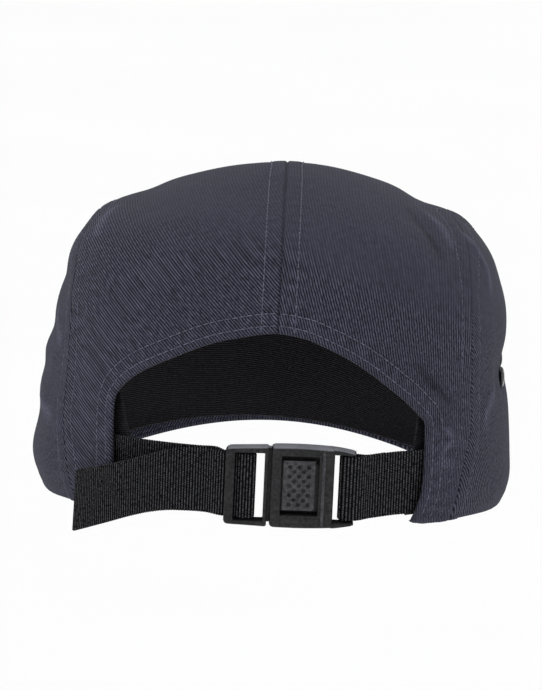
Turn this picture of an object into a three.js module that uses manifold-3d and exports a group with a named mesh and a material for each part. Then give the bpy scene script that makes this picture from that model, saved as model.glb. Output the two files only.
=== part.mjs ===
// Five panel cap with an adjustable webbing strap, seen in the photo from behind.
// Millimetres, +Z up, +Y toward the visor, origin at the centre of the crown's rim.
import * as THREE from 'three';
import { mergeVertices } from 'three/addons/utils/BufferGeometryUtils.js';
import Module from 'manifold-3d';

// Crown
const crownHeight = 124.8;
const halfWidth = 89.5;
const frontReach = 101;
const backReach = 99;
const crownLean = 1.5;
const rimRise = 10;
const legRise = 1.6;
const legRiseBearing = 131;
const legRiseSpread = 17;
const clothThickness = 1.6;
const seamGap = 0.36;
const layerGap = 0.3;

// Sweatband
const bandHeight = 44;
const bandThickness = 1.2;
const bandStandoff = 1.0;
const bandHem = 0.8;
const bandTuckRoom = 1.5;
const bandTuckSpread = 14;

// Visor
const visorReach = 70;
const visorFlare = 7.2;
const visorThickness = 3;
const visorArch = 9;
const visorPitch = 7;
const visorTuck = 2;
const visorGap = 0.8;
const visorSquare = 2.25;

// Webbing strap
const strapWidth = 25.4;
const strapThickness = 1.5;
const strapHeight = 17.5;
const strapTuck = 12;
const strapRoom = 0.55;
const mainRise = 0.6;
const mainEnd = 4;
const tailEnd = -71;
const tailDrop = 13.3;
const tailTip = 12;
const tailLift = 1.7;
const runEase = 0.5;
const loopEase = 0.6;
const legEase = 6;
const loopTail = [36, 40, 44];
const loopTailDrop = 0.6;

// Buckle
const buckleCentre = 6.5;
const buckleDepth = 0.6;
const buckleLeft = -17.4;
const strapSideRoom = 0.6;
const railHeight = 2.45;
const buckleCorner = 1.1;
const frameFace = 2.6;
const frameBack = 2.2;
const frameEndTaper = 0.9;
const frameStep = 0.2;
const leftBarWidth = 3.4;
const middleBarWidth = 2.2;
const middleBarThickness = 1;
const middleBarSide = -0.1;
const returnRoom = 3.2;
const rightBarWidth = 1.4;
const halvesGap = 1;
const bodyFace = 2.8;
const bodyBack = 3;
const bodyLength = 23.3;
const bodyTaper = 0.3;
const armTaper = 1.8;
const armPast = 1.3;
const loopRoom = 2.2;
const loopBarWidth = 2.2;
const loopBarThickness = 1.4;
const loopBarSide = -1;
const ridgeInset = 18.8;
const ridgeWidth = 1.2;
const ridgeHeight = 0.4;
const ridgeEnds = 0.6;
const tongueWidth = 18.6;
const tongueLength = 19;
const tongueThickness = 2.4;
const tongueEndRoom = 0.6;
const shoulderWidth = 27.6;
const windowInset = 3.8;
const windowWidth = 13.9;
const windowHeight = 23.2;
const windowRise = 0.9;
const buttonRoomLeft = 0.5;
const buttonRoomRight = 1.2;
const buttonRoomEnds = 1.9;
const buttonFace = 2.6;

// Eyelets
const eyeletDiameter = 7.6;
const eyeletHole = 3.4;
const eyeletFlange = 0.45;
const eyeletInset = 0.6;
const barrelWall = 0.4;
const eyeletHeight = 49.5;
const eyeletSeat = 0.6;
const eyeletFlatness = 8;

// How finely the surfaces are divided
const archSteps = 10;
const legRiseSteps = 4;
const legSteps = 3;
const riseSteps = 13;
const shoulderSteps = 12;
const bandColumns = 44;
const bandRows = 4;
const visorColumns = 28;
const visorRows = 5;
const eyeletSides = 16;
const turnSteps = 6;

// Levels of the crown: height, half width, front reach and back reach as shares of the
// sizes above, and the power of the rounded square that joins them.
const levels = [
  { height: 0.0, side: 0.975, front: 1.0, back: 0.925, square: 2.25 },
  { height: 0.1, side: 1.005, front: 1.0, back: 0.955, square: 2.35 },
  { height: 0.25, side: 0.997, front: 0.985, back: 0.985, square: 2.35 },
  { height: 0.4, side: 0.98, front: 0.966, back: 0.995, square: 2.3 },
  { height: 0.53, side: 0.962, front: 0.943, back: 0.99, square: 2.3 },
  { height: 0.65, side: 0.932, front: 0.907, back: 0.965, square: 2.3 },
  { height: 0.75, side: 0.882, front: 0.85, back: 0.915, square: 2.3 },
  { height: 0.83, side: 0.775, front: 0.755, back: 0.825, square: 2.25 },
  { height: 0.895, side: 0.615, front: 0.6, back: 0.685, square: 2.2 },
  { height: 0.945, side: 0.42, front: 0.415, back: 0.49, square: 2.1 },
  { height: 0.985, side: 0.205, front: 0.21, back: 0.25, square: 2.0 },
  { height: 1.0, side: 0.0, front: 0.0, back: 0.0, square: 2.0 },
];

// Soft folds: each swells the cloth by `swell` mm along a line between two places, given as
// shares of half width, back reach and crown height, and fades over `spread` mm.
const folds = [
  { from: [0.75, -0.3, 0.8], to: [0.75, 0.45, 0.82], swell: 0.6, spread: 9 },
  { from: [0.58, -0.38, 0.87], to: [0.58, 0.35, 0.88], swell: -2.0, spread: 8 },
  { from: [-0.77, -0.3, 0.82], to: [-0.77, 0.45, 0.83], swell: 1.0, spread: 9 },
  { from: [-0.58, -0.38, 0.89], to: [-0.58, 0.35, 0.9], swell: -1.2, spread: 8 },
  { from: [0.95, -0.35, 0.41], to: [0.98, 0.2, 0.43], swell: -2.6, spread: 8 },
  { from: [0.97, -0.25, 0.58], to: [0.95, 0.15, 0.61], swell: 0.6, spread: 8 },
  { from: [-0.93, -0.3, 0.62], to: [-0.93, 0.2, 0.64], swell: -1.2, spread: 6 },
  { from: [-0.95, -0.35, 0.49], to: [-0.95, 0.2, 0.48], swell: -0.8, spread: 5 },
  { from: [-0.97, -0.35, 0.42], to: [-0.97, 0.15, 0.4], swell: 1.2, spread: 5 },
  { from: [-0.99, -0.3, 0.3], to: [-0.99, 0.2, 0.3], swell: 1.4, spread: 6.5 },
  { from: [-1.0, -0.4, 0.1], to: [-1.0, 0.2, 0.1], swell: 1.8, spread: 10 },
  { from: [1.0, -0.4, 0.06], to: [1.0, 0.2, 0.04], swell: 1.2, spread: 8 },
];

// Seams, as compass bearings in degrees from the visor (+ to the right) and height shares
const sideSeamRight = [
  { bearing: 134.9, height: 0.0 },
  { bearing: 134.4, height: 0.13 },
  { bearing: 133.0, height: 0.21 },
  { bearing: 131.4, height: 0.3 },
  { bearing: 131.1, height: 0.42 },
  { bearing: 131.0, height: 0.53 },
  { bearing: 129.4, height: 0.66 },
  { bearing: 126.5, height: 0.74 },
  { bearing: 119.0, height: 0.8 },
  { bearing: 105.0, height: 0.846 },
  { bearing: 90.0, height: 0.862 },
  { bearing: 74.0, height: 0.83 },
  { bearing: 61.0, height: 0.77 },
  { bearing: 50.0, height: 0.7 },
];
const sideSeamLeft = [
  { bearing: -129.5, height: 0.0 },
  { bearing: -128.0, height: 0.09 },
  { bearing: -126.5, height: 0.17 },
  { bearing: -124.5, height: 0.26 },
  { bearing: -123.7, height: 0.4 },
  { bearing: -122.0, height: 0.52 },
  { bearing: -118.8, height: 0.62 },
  { bearing: -114.5, height: 0.7 },
  { bearing: -106.0, height: 0.765 },
  { bearing: -94.0, height: 0.81 },
  { bearing: -79.0, height: 0.82 },
  { bearing: -63.0, height: 0.77 },
  { bearing: -50.0, height: 0.7 },
];
const frontSeamTop = [
  { bearing: 50, height: 0.7 },
  { bearing: 34, height: 0.795 },
  { bearing: 18, height: 0.862 },
  { bearing: 0, height: 0.885 },
];
const frontSeamFoot = [
  { bearing: 50, height: 0.0 },
  { bearing: 46.5, height: 0.2 },
  { bearing: 45, height: 0.4 },
  { bearing: 46.3, height: 0.56 },
  { bearing: 50, height: 0.7 },
];

// The arch and the inner edge of each leg, seen from behind: shares of half width and height
const archRight = [
  { side: 0.0, height: 0.596 },
  { side: 0.067, height: 0.59 },
  { side: 0.133, height: 0.579 },
  { side: 0.199, height: 0.559 },
  { side: 0.371, height: 0.492 },
  { side: 0.465, height: 0.441 },
  { side: 0.54, height: 0.397 },
  { side: 0.598, height: 0.355 },
  { side: 0.626, height: 0.331 },
  { side: 0.632, height: 0.3 },
  { side: 0.634, height: 0.22 },
  { side: 0.628, height: 0.13 },
  { side: 0.618, height: 0.076 },
  { side: 0.608, height: 0.022 },
];
const archLeft = [
  { side: 0.0, height: 0.596 },
  { side: -0.073, height: 0.591 },
  { side: -0.154, height: 0.579 },
  { side: -0.235, height: 0.565 },
  { side: -0.398, height: 0.516 },
  { side: -0.482, height: 0.485 },
  { side: -0.583, height: 0.439 },
  { side: -0.644, height: 0.395 },
  { side: -0.668, height: 0.359 },
  { side: -0.672, height: 0.305 },
  { side: -0.668, height: 0.235 },
  { side: -0.665, height: 0.186 },
  { side: -0.662, height: 0.1 },
  { side: -0.66, height: 0.02 },
];

// Eyelets, by their bearings
const eyelets = [
  { name: 'eyelet_right_rear', bearing: 103 },
  { name: 'eyelet_right_front', bearing: 72 },
  { name: 'eyelet_left_rear', bearing: -75 },
  { name: 'eyelet_left_front', bearing: -53 },
];

// Where each end of the sweatband shows past its leg: shares of half width and height
const bandEndRight = { topSide: 0.638, topHeight: 0.36, footSide: 0.59, footHeight: 0.0 };
const bandEndLeft = { topSide: -0.685, topHeight: 0.36, footSide: -0.535, footHeight: 0.0 };

const { lerp, degToRad, radToDeg, smoothstep } = THREE.MathUtils;

// Crown surface

const topLevel = levels.length - 1;
const columns = ['height', 'side', 'front', 'back', 'square'];
const below = Object.fromEntries(columns.map((c) => [c, 2 * levels[0][c] - levels[1][c]]));
const mirrored = levels[topLevel - 1];
const beyond = { ...mirrored, side: -mirrored.side, front: -mirrored.front, back: -mirrored.back };
const rows = [below, ...levels, beyond];

// A smooth curve through the rows of a table, `t` counting them from 0.
function levelAt(t) {
  const i = Math.min(Math.max(Math.floor(t), 0), topLevel - 1);
  const f = t - i;
  const value = (c) => {
    const [a, b, d, e] = [rows[i][c], rows[i + 1][c], rows[i + 2][c], rows[i + 3][c]];
    const cubic = 3 * b - a - 3 * d + e;
    return 0.5 * (2 * b + (d - a) * f + (2 * a - 5 * b + 4 * d - e) * f * f + cubic * f ** 3);
  };
  return Object.fromEntries(columns.map((c) => [c, value(c)]));
}

// The level number at a height share, found by halving.
function levelOf(height) {
  let [low, high] = [0, topLevel];
  for (let k = 0; k < 40; k++) {
    const middle = (low + high) / 2;
    if (levelAt(middle).height < height) low = middle;
    else high = middle;
  }
  return (low + high) / 2;
}

function leanAt(height) {
  const h = Math.min(Math.max(height, 0), 1);
  return crownLean * h * h * (3 - 2 * h);
}

// The crown seen as a map: the apex is the middle, the rim the unit circle, +y the visor.
function crownPoint(p, q) {
  const level = levelAt(topLevel * (1 - Math.hypot(p, q)));
  const bearing = Math.atan2(p, q);
  const [s, c] = [Math.sin(bearing), Math.cos(bearing)];
  const reach = c >= 0 ? level.front * frontReach : level.back * backReach;
  const across = Math.max(Math.abs(s), 1e-9) / Math.max(level.side * halfWidth, 1e-6);
  const along = Math.max(Math.abs(c), 1e-9) / Math.max(reach, 1e-6);
  const r = (across ** level.square + along ** level.square) ** (-1 / level.square);
  return new THREE.Vector3(r * s + leanAt(level.height), r * c, level.height * crownHeight);
}

function crownNormal(p, q) {
  const step = 1e-3;
  const across = crownPoint(p + step, q).sub(crownPoint(p - step, q));
  const along = crownPoint(p, q + step).sub(crownPoint(p, q - step));
  return across.cross(along).normalize();
}

const foldLines = folds.map((fold) => ({
  line: new THREE.Line3(
    new THREE.Vector3(fold.from[0] * halfWidth, fold.from[1] * backReach, fold.from[2] * crownHeight),
    new THREE.Vector3(fold.to[0] * halfWidth, fold.to[1] * backReach, fold.to[2] * crownHeight),
  ),
  swell: fold.swell,
  spread: fold.spread,
}));

function foldSwell(point) {
  const nearest = new THREE.Vector3();
  return foldLines.reduce((sum, fold) => {
    fold.line.closestPointToPoint(point, true, nearest);
    return sum + fold.swell * Math.exp(-((nearest.distanceTo(point) / fold.spread) ** 2));
  }, 0);
}

function placeAt(bearing, height) {
  const angle = degToRad(bearing);
  const radius = 1 - levelOf(height) / topLevel;
  return new THREE.Vector2(radius * Math.sin(angle), radius * Math.cos(angle));
}

// Each eyelet holds the cloth round it flat.
const flatSpots = eyelets.map(({ bearing }) => {
  const place = placeAt(bearing, eyeletHeight / crownHeight);
  const centre = crownPoint(place.x, place.y);
  return { centre, swell: foldSwell(centre) };
});

function swellAt(point) {
  return flatSpots.reduce((swell, spot) => {
    const hold = Math.exp(-((point.distanceTo(spot.centre) / eyeletFlatness) ** 2));
    return lerp(swell, spot.swell, hold);
  }, foldSwell(point));
}

// A place on the cloth, `depth` mm inside its outer face.
function skin(place, depth) {
  const point = crownPoint(place.x, place.y);
  return point.addScaledVector(crownNormal(place.x, place.y), swellAt(point) - depth);
}

// The way that the folded cloth faces at a place.
function skinNormal(place) {
  const step = 0.01;
  const near = (p, q) => skin(new THREE.Vector2(place.x + p, place.y + q), 0);
  const across = near(step, 0).sub(near(-step, 0));
  const along = near(0, step).sub(near(0, -step));
  return across.cross(along).normalize();
}

// The place on the back of the crown that is seen at `x` mm and a height share.
function placeBehind(x, height) {
  const level = levelAt(levelOf(height));
  const across = x - leanAt(height);
  const share = Math.abs(across) / (level.side * halfWidth);
  const y = -level.back * backReach * Math.max(1 - share ** level.square, 0) ** (1 / level.square);
  return placeAt(radToDeg(Math.atan2(across, y)), height);
}

// Edges of the panels, as lists of places

function spaced(places, steps) {
  return new THREE.SplineCurve(places).getSpacedPoints(steps);
}

// The rim is level except over the visor, where it rises in an arch, and a little at each leg.
const visorBearing = frontSeamFoot[0].bearing;
function rimHeight(bearing) {
  const share = Math.min(Math.abs(bearing) / visorBearing, 1);
  const overVisor = rimRise * Math.cos((Math.PI / 2) * share) ** 2;
  const atLeg = legRise * Math.exp(-(((Math.abs(bearing) - legRiseBearing) / legRiseSpread) ** 2));
  return (overVisor + atLeg) / crownHeight;
}

function rimEdge(from, to, steps) {
  const bearings = Array.from({ length: steps + 1 }, (_, i) => from + ((to - from) * i) / steps);
  return bearings.map((b) => placeAt(b, rimHeight(b)));
}

// The bottom of a leg, from its inner corner to the side seam.
function legFoot(corner, seam, steps) {
  const fromBearing = radToDeg(Math.atan2(corner.x, corner.y));
  const fromLevel = topLevel * (1 - corner.length());
  const share = (i) => i / steps;
  return Array.from({ length: steps + 1 }, (_, i) => {
    const bearing = lerp(fromBearing, seam.bearing, share(i));
    const height = lerp(rimHeight(bearing), levelAt(fromLevel).height, (1 - share(i)) ** 2);
    return placeAt(bearing, height);
  });
}

const seamSteps = riseSteps + shoulderSteps;
const acrossSteps = archSteps + legSteps;
const mirrorRow = (row) => ({ bearing: -row.bearing, height: row.height });
const toPlace = (row) => placeAt(row.bearing, row.height);

function sideEdges(seamRows, archRows, frontRows) {
  const { bearing } = seamRows[0];
  const seamFoot = { bearing, height: rimHeight(bearing) };
  const seam = spaced([seamFoot, ...seamRows.slice(1)].map(toPlace), seamSteps);
  const opening = archRows.map((row) => placeBehind(row.side * halfWidth, row.height));
  const edge = spaced(opening, archSteps + legRiseSteps);
  return {
    seam,
    arch: edge.slice(0, archSteps + 1),
    legEdge: edge.slice(archSteps).reverse(),
    legFoot: legFoot(edge.at(-1), seamFoot, legSteps),
    frontFoot: spaced(frontRows.map(toPlace), riseSteps),
    rimBearing: bearing,
  };
}

const right = sideEdges(sideSeamRight, archRight, frontSeamFoot);
const left = sideEdges(sideSeamLeft, archLeft, frontSeamFoot.map(mirrorRow));
const frontRows = [...frontSeamTop.map(mirrorRow), ...frontSeamTop.slice(0, -1).reverse()];
const frontTop = spaced(frontRows.map(toPlace), 2 * acrossSteps);
const frontTopRight = frontTop.slice(acrossSteps);
const frontTopLeft = frontTop.slice(0, acrossSteps + 1).reverse();

function straight(from, to, steps) {
  return Array.from({ length: steps + 1 }, (_, i) => from.clone().lerp(to, i / steps));
}

const centreSeam = straight(right.arch[0], frontTop[acrossSteps], seamSteps - legRiseSteps);

// A patch of places between four edges: `foot` and `top` run across, `start` and `end` upward.
function patch(foot, top, start, end) {
  const [nu, nv] = [foot.length - 1, start.length - 1];
  return foot.map((_, i) => start.map((__, j) => {
    const [u, v] = [i / nu, j / nv];
    const place = new THREE.Vector2();
    place.addScaledVector(foot[i], 1 - v).addScaledVector(top[i], v);
    place.addScaledVector(start[j], 1 - u).addScaledVector(end[j], u);
    place.addScaledVector(foot[0], -(1 - u) * (1 - v)).addScaledVector(foot[nu], -u * (1 - v));
    return place.addScaledVector(top[0], -(1 - u) * v).addScaledVector(top[nu], -u * v);
  }));
}

// The four-cornered cells of a grid of columns, as numbers of its points.
function gridCells(columns, rowsUp) {
  const cells = [];
  for (let i = 0; i < columns - 1; i++) {
    for (let j = 0; j < rowsUp - 1; j++) {
      const a = i * rowsUp + j;
      cells.push([a, a + rowsUp, a + rowsUp + 1, a + 1]);
    }
  }
  return cells;
}

// A closed sheet: the cells once on the outer points, once turned over on the inner points,
// and a wall along each edge that only one cell has.
function closedSheet(outer, inner, cells) {
  const index = [];
  const quad = (a, b, c, d) => index.push(a, b, c, a, c, d);
  const edges = new Map();
  for (const [a, b, c, d] of cells) {
    quad(a, b, c, d);
    index.push(...[a, c, b, a, d, c].map((k) => k + outer.length));
    for (const [from, to] of [[a, b], [b, c], [c, d], [d, a]]) edges.set(`${from} ${to}`, [from, to]);
  }
  for (const [from, to] of edges.values()) {
    if (!edges.has(`${to} ${from}`)) quad(to, from, from + outer.length, to + outer.length);
  }
  const geometry = new THREE.BufferGeometry();
  const positions = [...outer, ...inner].flatMap((point) => [...point]);
  geometry.setAttribute('position', new THREE.Float32BufferAttribute(positions, 3));
  geometry.setIndex(index);
  return geometry;
}

function sheet(outer, inner) {
  return closedSheet(outer.flat(), inner.flat(), gridCells(outer.length, outer[0].length));
}

// A panel of cloth from patches that share edges. Each seam is a list of places that runs
// anticlockwise round the panel; along it the cloth stands back by half the seam's gap.
function clothPanel(patches, seams) {
  const places = [];
  const known = new Map();
  const numberOf = (place) => {
    const key = `${Math.round(place.x * 1e6)} ${Math.round(place.y * 1e6)}`;
    if (!known.has(key)) known.set(key, places.push(place) - 1);
    return known.get(key);
  };
  const cells = patches.flatMap((grid) => {
    const numbers = grid.flat().map(numberOf);
    return gridCells(grid.length, grid[0].length).map((cell) => cell.map((k) => numbers[k]));
  });
  const shifts = places.map(() => new THREE.Vector3());
  for (const seam of seams) {
    const line = seam.map((place) => skin(place, 0));
    seam.forEach((place, k) => {
      const along = line[Math.min(k + 1, line.length - 1)].clone().sub(line[Math.max(k - 1, 0)]);
      const inward = crownNormal(place.x, place.y).cross(along).setLength(seamGap / 2);
      shifts[numberOf(place)].add(inward);
    });
  }
  const face = (depth) => places.map((place, k) => skin(place, depth).add(shifts[k]));
  return closedSheet(face(0), face(clothThickness), cells);
}

const turned = (list) => [...list].reverse();

const visorRim = rimEdge(visorBearing, -visorBearing, 2 * acrossSteps);
const frontPanel = clothPanel(
  [patch(visorRim, turned(frontTop), right.frontFoot, left.frontFoot)],
  [left.frontFoot, frontTop, turned(right.frontFoot)],
);

// A back panel: the leg up to where the arch begins, and the rest above and over the crown.
function backPatches(edges, frontSeam) {
  const legTop = straight(edges.arch.at(-1), edges.seam[legRiseSteps], legSteps);
  const lowerSeam = edges.seam.slice(0, legRiseSteps + 1);
  const upperSeam = edges.seam.slice(legRiseSteps);
  return [
    patch(edges.legFoot, legTop, edges.legEdge, lowerSeam),
    patch([...edges.arch, ...legTop.slice(1)], frontSeam, centreSeam, upperSeam),
  ];
}

const backPanelRight = clothPanel(
  backPatches(right, frontTopRight),
  [right.seam, turned(frontTopRight), turned(centreSeam)],
);
const backPanelLeft = clothPanel(
  backPatches(left, frontTopLeft).map(turned),
  [centreSeam, frontTopLeft, turned(left.seam)],
);

const toPolar = (place) => new THREE.Vector2(Math.atan2(place.x, place.y), place.length());
const fromPolar = ({ x, y }) => new THREE.Vector2(y * Math.sin(x), y * Math.cos(x));

// A side panel: the side seam climbs one edge and turns forward along the top. Its rows
// follow the levels of the crown, so the patch is made between bearings and radii.
function sidePatch(edges) {
  const rim = rimEdge(edges.rimBearing, Math.sign(edges.rimBearing) * visorBearing, shoulderSteps);
  const around = [rim, edges.seam.slice(riseSteps), edges.seam.slice(0, riseSteps + 1), edges.frontFoot];
  return patch(...around.map((edge) => edge.map(toPolar))).map((column) => column.map(fromPolar));
}

const sideClothRight = clothPanel([sidePatch(right)], [right.frontFoot, turned(right.seam)]);
const sideClothLeft = clothPanel([turned(sidePatch(left))], [left.seam, turned(left.frontFoot)]);

// Joining and cutting closed solids

const wasm = await Module();
wasm.setup();

function toSolid(geometry) {
  const plain = geometry.clone();
  plain.deleteAttribute('normal');
  plain.deleteAttribute('uv');
  const merged = mergeVertices(plain, 1e-4);
  return new wasm.Manifold(new wasm.Mesh({
    numProp: 3,
    vertProperties: new Float32Array(merged.attributes.position.array),
    triVerts: new Uint32Array(merged.index.array),
  }));
}

function toGeometry(solid) {
  const mesh = solid.getMesh();
  const geometry = new THREE.BufferGeometry();
  geometry.setAttribute('position', new THREE.Float32BufferAttribute(mesh.vertProperties, 3));
  geometry.setIndex(Array.from(mesh.triVerts));
  return geometry;
}

function cut(body, tools) {
  return toGeometry(tools.reduce((solid, tool) => solid.subtract(toSolid(tool)), toSolid(body)));
}

function join(pieces) {
  const [first, ...others] = pieces.map(toSolid);
  return toGeometry(others.reduce((solid, piece) => solid.add(piece), first));
}

function box(x, y, z) {
  const geometry = new THREE.BoxGeometry(x[1] - x[0], y[1] - y[0], z[1] - z[0]);
  return geometry.translate((x[0] + x[1]) / 2, (y[0] + y[1]) / 2, (z[0] + z[1]) / 2);
}

// Eyelets: a flange outside, a barrel through the cloth and a rolled foot inside

function eyeletFrame(bearing) {
  const place = placeAt(bearing, eyeletHeight / crownHeight);
  const turn = new THREE.Quaternion().setFromUnitVectors(new THREE.Vector3(0, 1, 0), skinNormal(place));
  return { position: skin(place, 0), turn };
}

const barrelRadius = eyeletHole / 2 + barrelWall;

function eyeletGeometry() {
  const [hole, rim] = [eyeletHole / 2, eyeletDiameter / 2];
  const outside = eyeletSeat;
  const inside = -clothThickness - outside;
  const profile = [
    [hole, inside - eyeletFlange],
    [rim - eyeletInset, inside - eyeletFlange],
    [rim - eyeletInset, inside],
    [barrelRadius, inside],
    [barrelRadius, outside],
    [rim, outside],
    [rim, outside + eyeletFlange / 2],
    [hole + eyeletInset, outside + 2 * eyeletFlange],
    [hole, outside + eyeletFlange],
    [hole, inside - eyeletFlange],
  ];
  return new THREE.LatheGeometry(profile.map(([r, y]) => new THREE.Vector2(r, y)), eyeletSides);
}

function eyeletBore(bearing) {
  const { position, turn } = eyeletFrame(bearing);
  const radius = barrelRadius + layerGap;
  const bore = new THREE.CylinderGeometry(radius, radius, 2 * eyeletDiameter, eyeletSides);
  return bore.applyQuaternion(turn).translate(position.x, position.y, position.z);
}

const boresOn = (side) => eyelets.filter((e) => e.bearing * side > 0).map((e) => eyeletBore(e.bearing));
const sidePanelRight = cut(sideClothRight, boresOn(1));
const sidePanelLeft = cut(sideClothLeft, boresOn(-1));

// Sweatband: it stands in from the cloth, and further in beside the tucked strap ends

function bandEndBearing(end, height) {
  const share = (height - end.footHeight) / (end.topHeight - end.footHeight);
  const side = lerp(end.footSide, end.topSide, share);
  const place = placeBehind(side * halfWidth, height);
  return radToDeg(Math.atan2(place.x, place.y));
}

function bandPlace(u, v) {
  const rim = rimHeight(lerp(sideSeamLeft[0].bearing, sideSeamRight[0].bearing, u));
  const height = rim + (bandHem + bandHeight * v) / crownHeight;
  const ends = [bandEndBearing(bandEndLeft, height), bandEndBearing(bandEndRight, height)];
  return placeAt(lerp(ends[0], ends[1], u), height);
}

function bandDepth(place) {
  const x = crownPoint(place.x, place.y);
  const legEdge = (x.x > 0 ? archRight : archLeft).at(-1).side * halfWidth;
  const past = Math.abs(x.x) - Math.abs(legEdge) - strapTuck;
  const tucked = x.y < 0 ? 1 - smoothstep(past, 0, bandTuckSpread) : 0;
  const beside = strapRoom + strapThickness + layerGap + bandTuckRoom;
  return clothThickness + lerp(bandStandoff, beside, tucked);
}

function bandGrid(depth) {
  return Array.from({ length: bandColumns + 1 }, (_, i) =>
    Array.from({ length: bandRows + 1 }, (__, j) => {
      const place = bandPlace(i / bandColumns, j / bandRows);
      return skin(place, bandDepth(place) + depth);
    }));
}

const sweatband = sheet(bandGrid(bandThickness), bandGrid(0));

// Visor: from the rim of the front panel to a rounded edge, arched across and pitched down

function visorGrid(drop) {
  const rimEnd = skin(placeAt(visorBearing, 0), 0);
  const visorHalfWidth = rimEnd.x + visorFlare;
  const endY = rimEnd.y + visorTuck;
  const tipY = frontReach + visorReach;
  return Array.from({ length: visorColumns + 1 }, (_, i) => {
    const u = (2 * i) / visorColumns - 1;
    const place = placeAt(u * visorBearing, rimHeight(u * visorBearing));
    const ahead = crownNormal(place.x, place.y).setZ(0).normalize();
    const root = skin(place, 0).addScaledVector(ahead, visorGap);
    const angle = (u * Math.PI) / 2;
    const round = (value) => Math.sign(value) * Math.abs(value) ** (2 / visorSquare);
    const edge = new THREE.Vector3(
      visorHalfWidth * round(Math.sin(angle)),
      endY + (tipY - endY) * round(Math.cos(angle)),
      0,
    );
    const [out, on] = [edge.x / visorHalfWidth, (edge.y - endY) / (tipY - endY)];
    edge.z = visorArch * (1 - out ** 2) - visorPitch * on;
    return Array.from({ length: visorRows + 1 }, (__, j) => {
      const point = root.clone().lerp(edge, j / visorRows);
      point.z += visorThickness / 2 - drop;
      return point;
    });
  });
}

const visor = sheet(visorGrid(0), visorGrid(visorThickness));

// Buckle: its own frame lies on the back of the crown, x along the strap, y up, z outward

const middle = placeBehind(buckleCentre, strapHeight / crownHeight);
const buckleOut = crownNormal(middle.x, middle.y);
const buckleAlong = new THREE.Vector3(-buckleOut.y, buckleOut.x, 0).normalize();
const buckleUp = buckleOut.clone().cross(buckleAlong);
const buckleTurn = new THREE.Quaternion().setFromRotationMatrix(
  new THREE.Matrix4().makeBasis(buckleAlong, buckleUp, buckleOut),
);
const buckleOrigin = skin(middle, buckleDepth).addScaledVector(buckleAlong, -buckleCentre);

// Places along the buckle, from left to right: each starts where the one before it ends
const strand = strapThickness + layerGap;
const after = (start, width) => [start, start + width];
const barLeft = after(buckleLeft, leftBarWidth);
const barMiddle = after(barLeft[1] + 2 * strand, middleBarWidth);
const barRight = after(barMiddle[1] + strand + layerGap + returnRoom, rightBarWidth);
const bodyLeft = barRight[1] + halvesGap;
const bodyRight = bodyLeft + bodyLength;
const barFemale = after(bodyRight + strand + layerGap + loopRoom, loopBarWidth);
const armEnd = barFemale[1] + armPast;
const buckleWindow = after(bodyLeft + windowInset, windowWidth);
const ridge = after(bodyLeft + ridgeInset, ridgeWidth);
const pocket = [bodyLeft, bodyLeft + tongueLength + tongueEndRoom];

// Heights and depths in the buckle
const halfOpening = strapWidth / 2 + strapSideRoom;
const halfRails = halfOpening + railHeight;
const pocketHalf = tongueWidth / 2 + layerGap;
const pocketSide = tongueThickness / 2 + layerGap;
const bendMiddle = middleBarThickness / 2 + layerGap + strapThickness / 2;
const loopMiddle = loopBarThickness / 2 + layerGap + strapThickness / 2;
const tailOut = middleBarSide + bendMiddle - strapThickness;
const mainOut = tailOut - strand;
const bite = 0.5;
const far = 10;

function outline(points) {
  return new THREE.Shape(points.map(([x, y]) => new THREE.Vector2(x, y)));
}

// A plate between two depths, symmetrical about the strap's middle line.
function plate(upper, back, face) {
  const lower = [...upper].reverse().map(([x, y]) => [x, -y]);
  const shape = outline([...upper, ...lower]);
  const geometry = new THREE.ExtrudeGeometry(shape, { depth: face - back, bevelEnabled: false });
  return geometry.translate(0, 0, back);
}

const within = (half, centre = 0) => [centre - half, centre + half];

const maleFrame = plate([
  [barLeft[0], halfRails - frameEndTaper - buckleCorner],
  [barLeft[0] + buckleCorner, halfRails - frameEndTaper],
  [barRight[1] - buckleCorner, halfRails - frameStep],
  [barRight[1], halfRails - frameStep - buckleCorner],
], -frameBack, frameFace);
const underBar = tailOut + strapThickness / 2 + layerGap;
const buckleMale = join([
  cut(maleFrame, [
    box([barLeft[1], barRight[0]], within(halfOpening), within(far)),
    box([barLeft[0] - far, barLeft[1] + bite], within(halfOpening), [-far, underBar]),
  ]),
  box(barMiddle, within(halfOpening + bite), within(middleBarThickness / 2, middleBarSide)),
  box([barRight[0] + bite, bodyLeft + tongueLength], within(tongueWidth / 2), within(tongueThickness / 2)),
  box([barRight[0] + bite, bodyLeft - layerGap], within(shoulderWidth / 2), within(tongueThickness / 2)),
]);

const femaleBody = plate([
  [bodyLeft, halfRails - buckleCorner],
  [bodyLeft + buckleCorner, halfRails],
  [bodyRight, halfRails - bodyTaper],
  [armEnd - buckleCorner, halfRails - armTaper],
  [armEnd, halfRails - armTaper - buckleCorner / 2],
], -bodyBack, bodyFace);
const buckleFemale = join([
  cut(femaleBody, [
    box([pocket[0] - far, pocket[1]], within(pocketHalf), within(pocketSide)),
    box(buckleWindow, within(windowHeight / 2, windowRise), [0, far]),
    box([bodyRight, armEnd + far], within(halfOpening), within(far)),
  ]),
  box(barFemale, within(halfOpening + bite), within(loopBarThickness / 2, loopBarSide)),
  box(ridge, within(halfRails - ridgeEnds), [bodyFace - bite, bodyFace + ridgeHeight]),
]);

const buckleButton = box(
  [buckleWindow[0] + buttonRoomLeft, buckleWindow[1] - buttonRoomRight],
  within(windowHeight / 2 - buttonRoomEnds, windowRise),
  [pocketSide, buttonFace],
);

// Webbing: a flat band through stations, each a middle point and the way across the band

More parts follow.
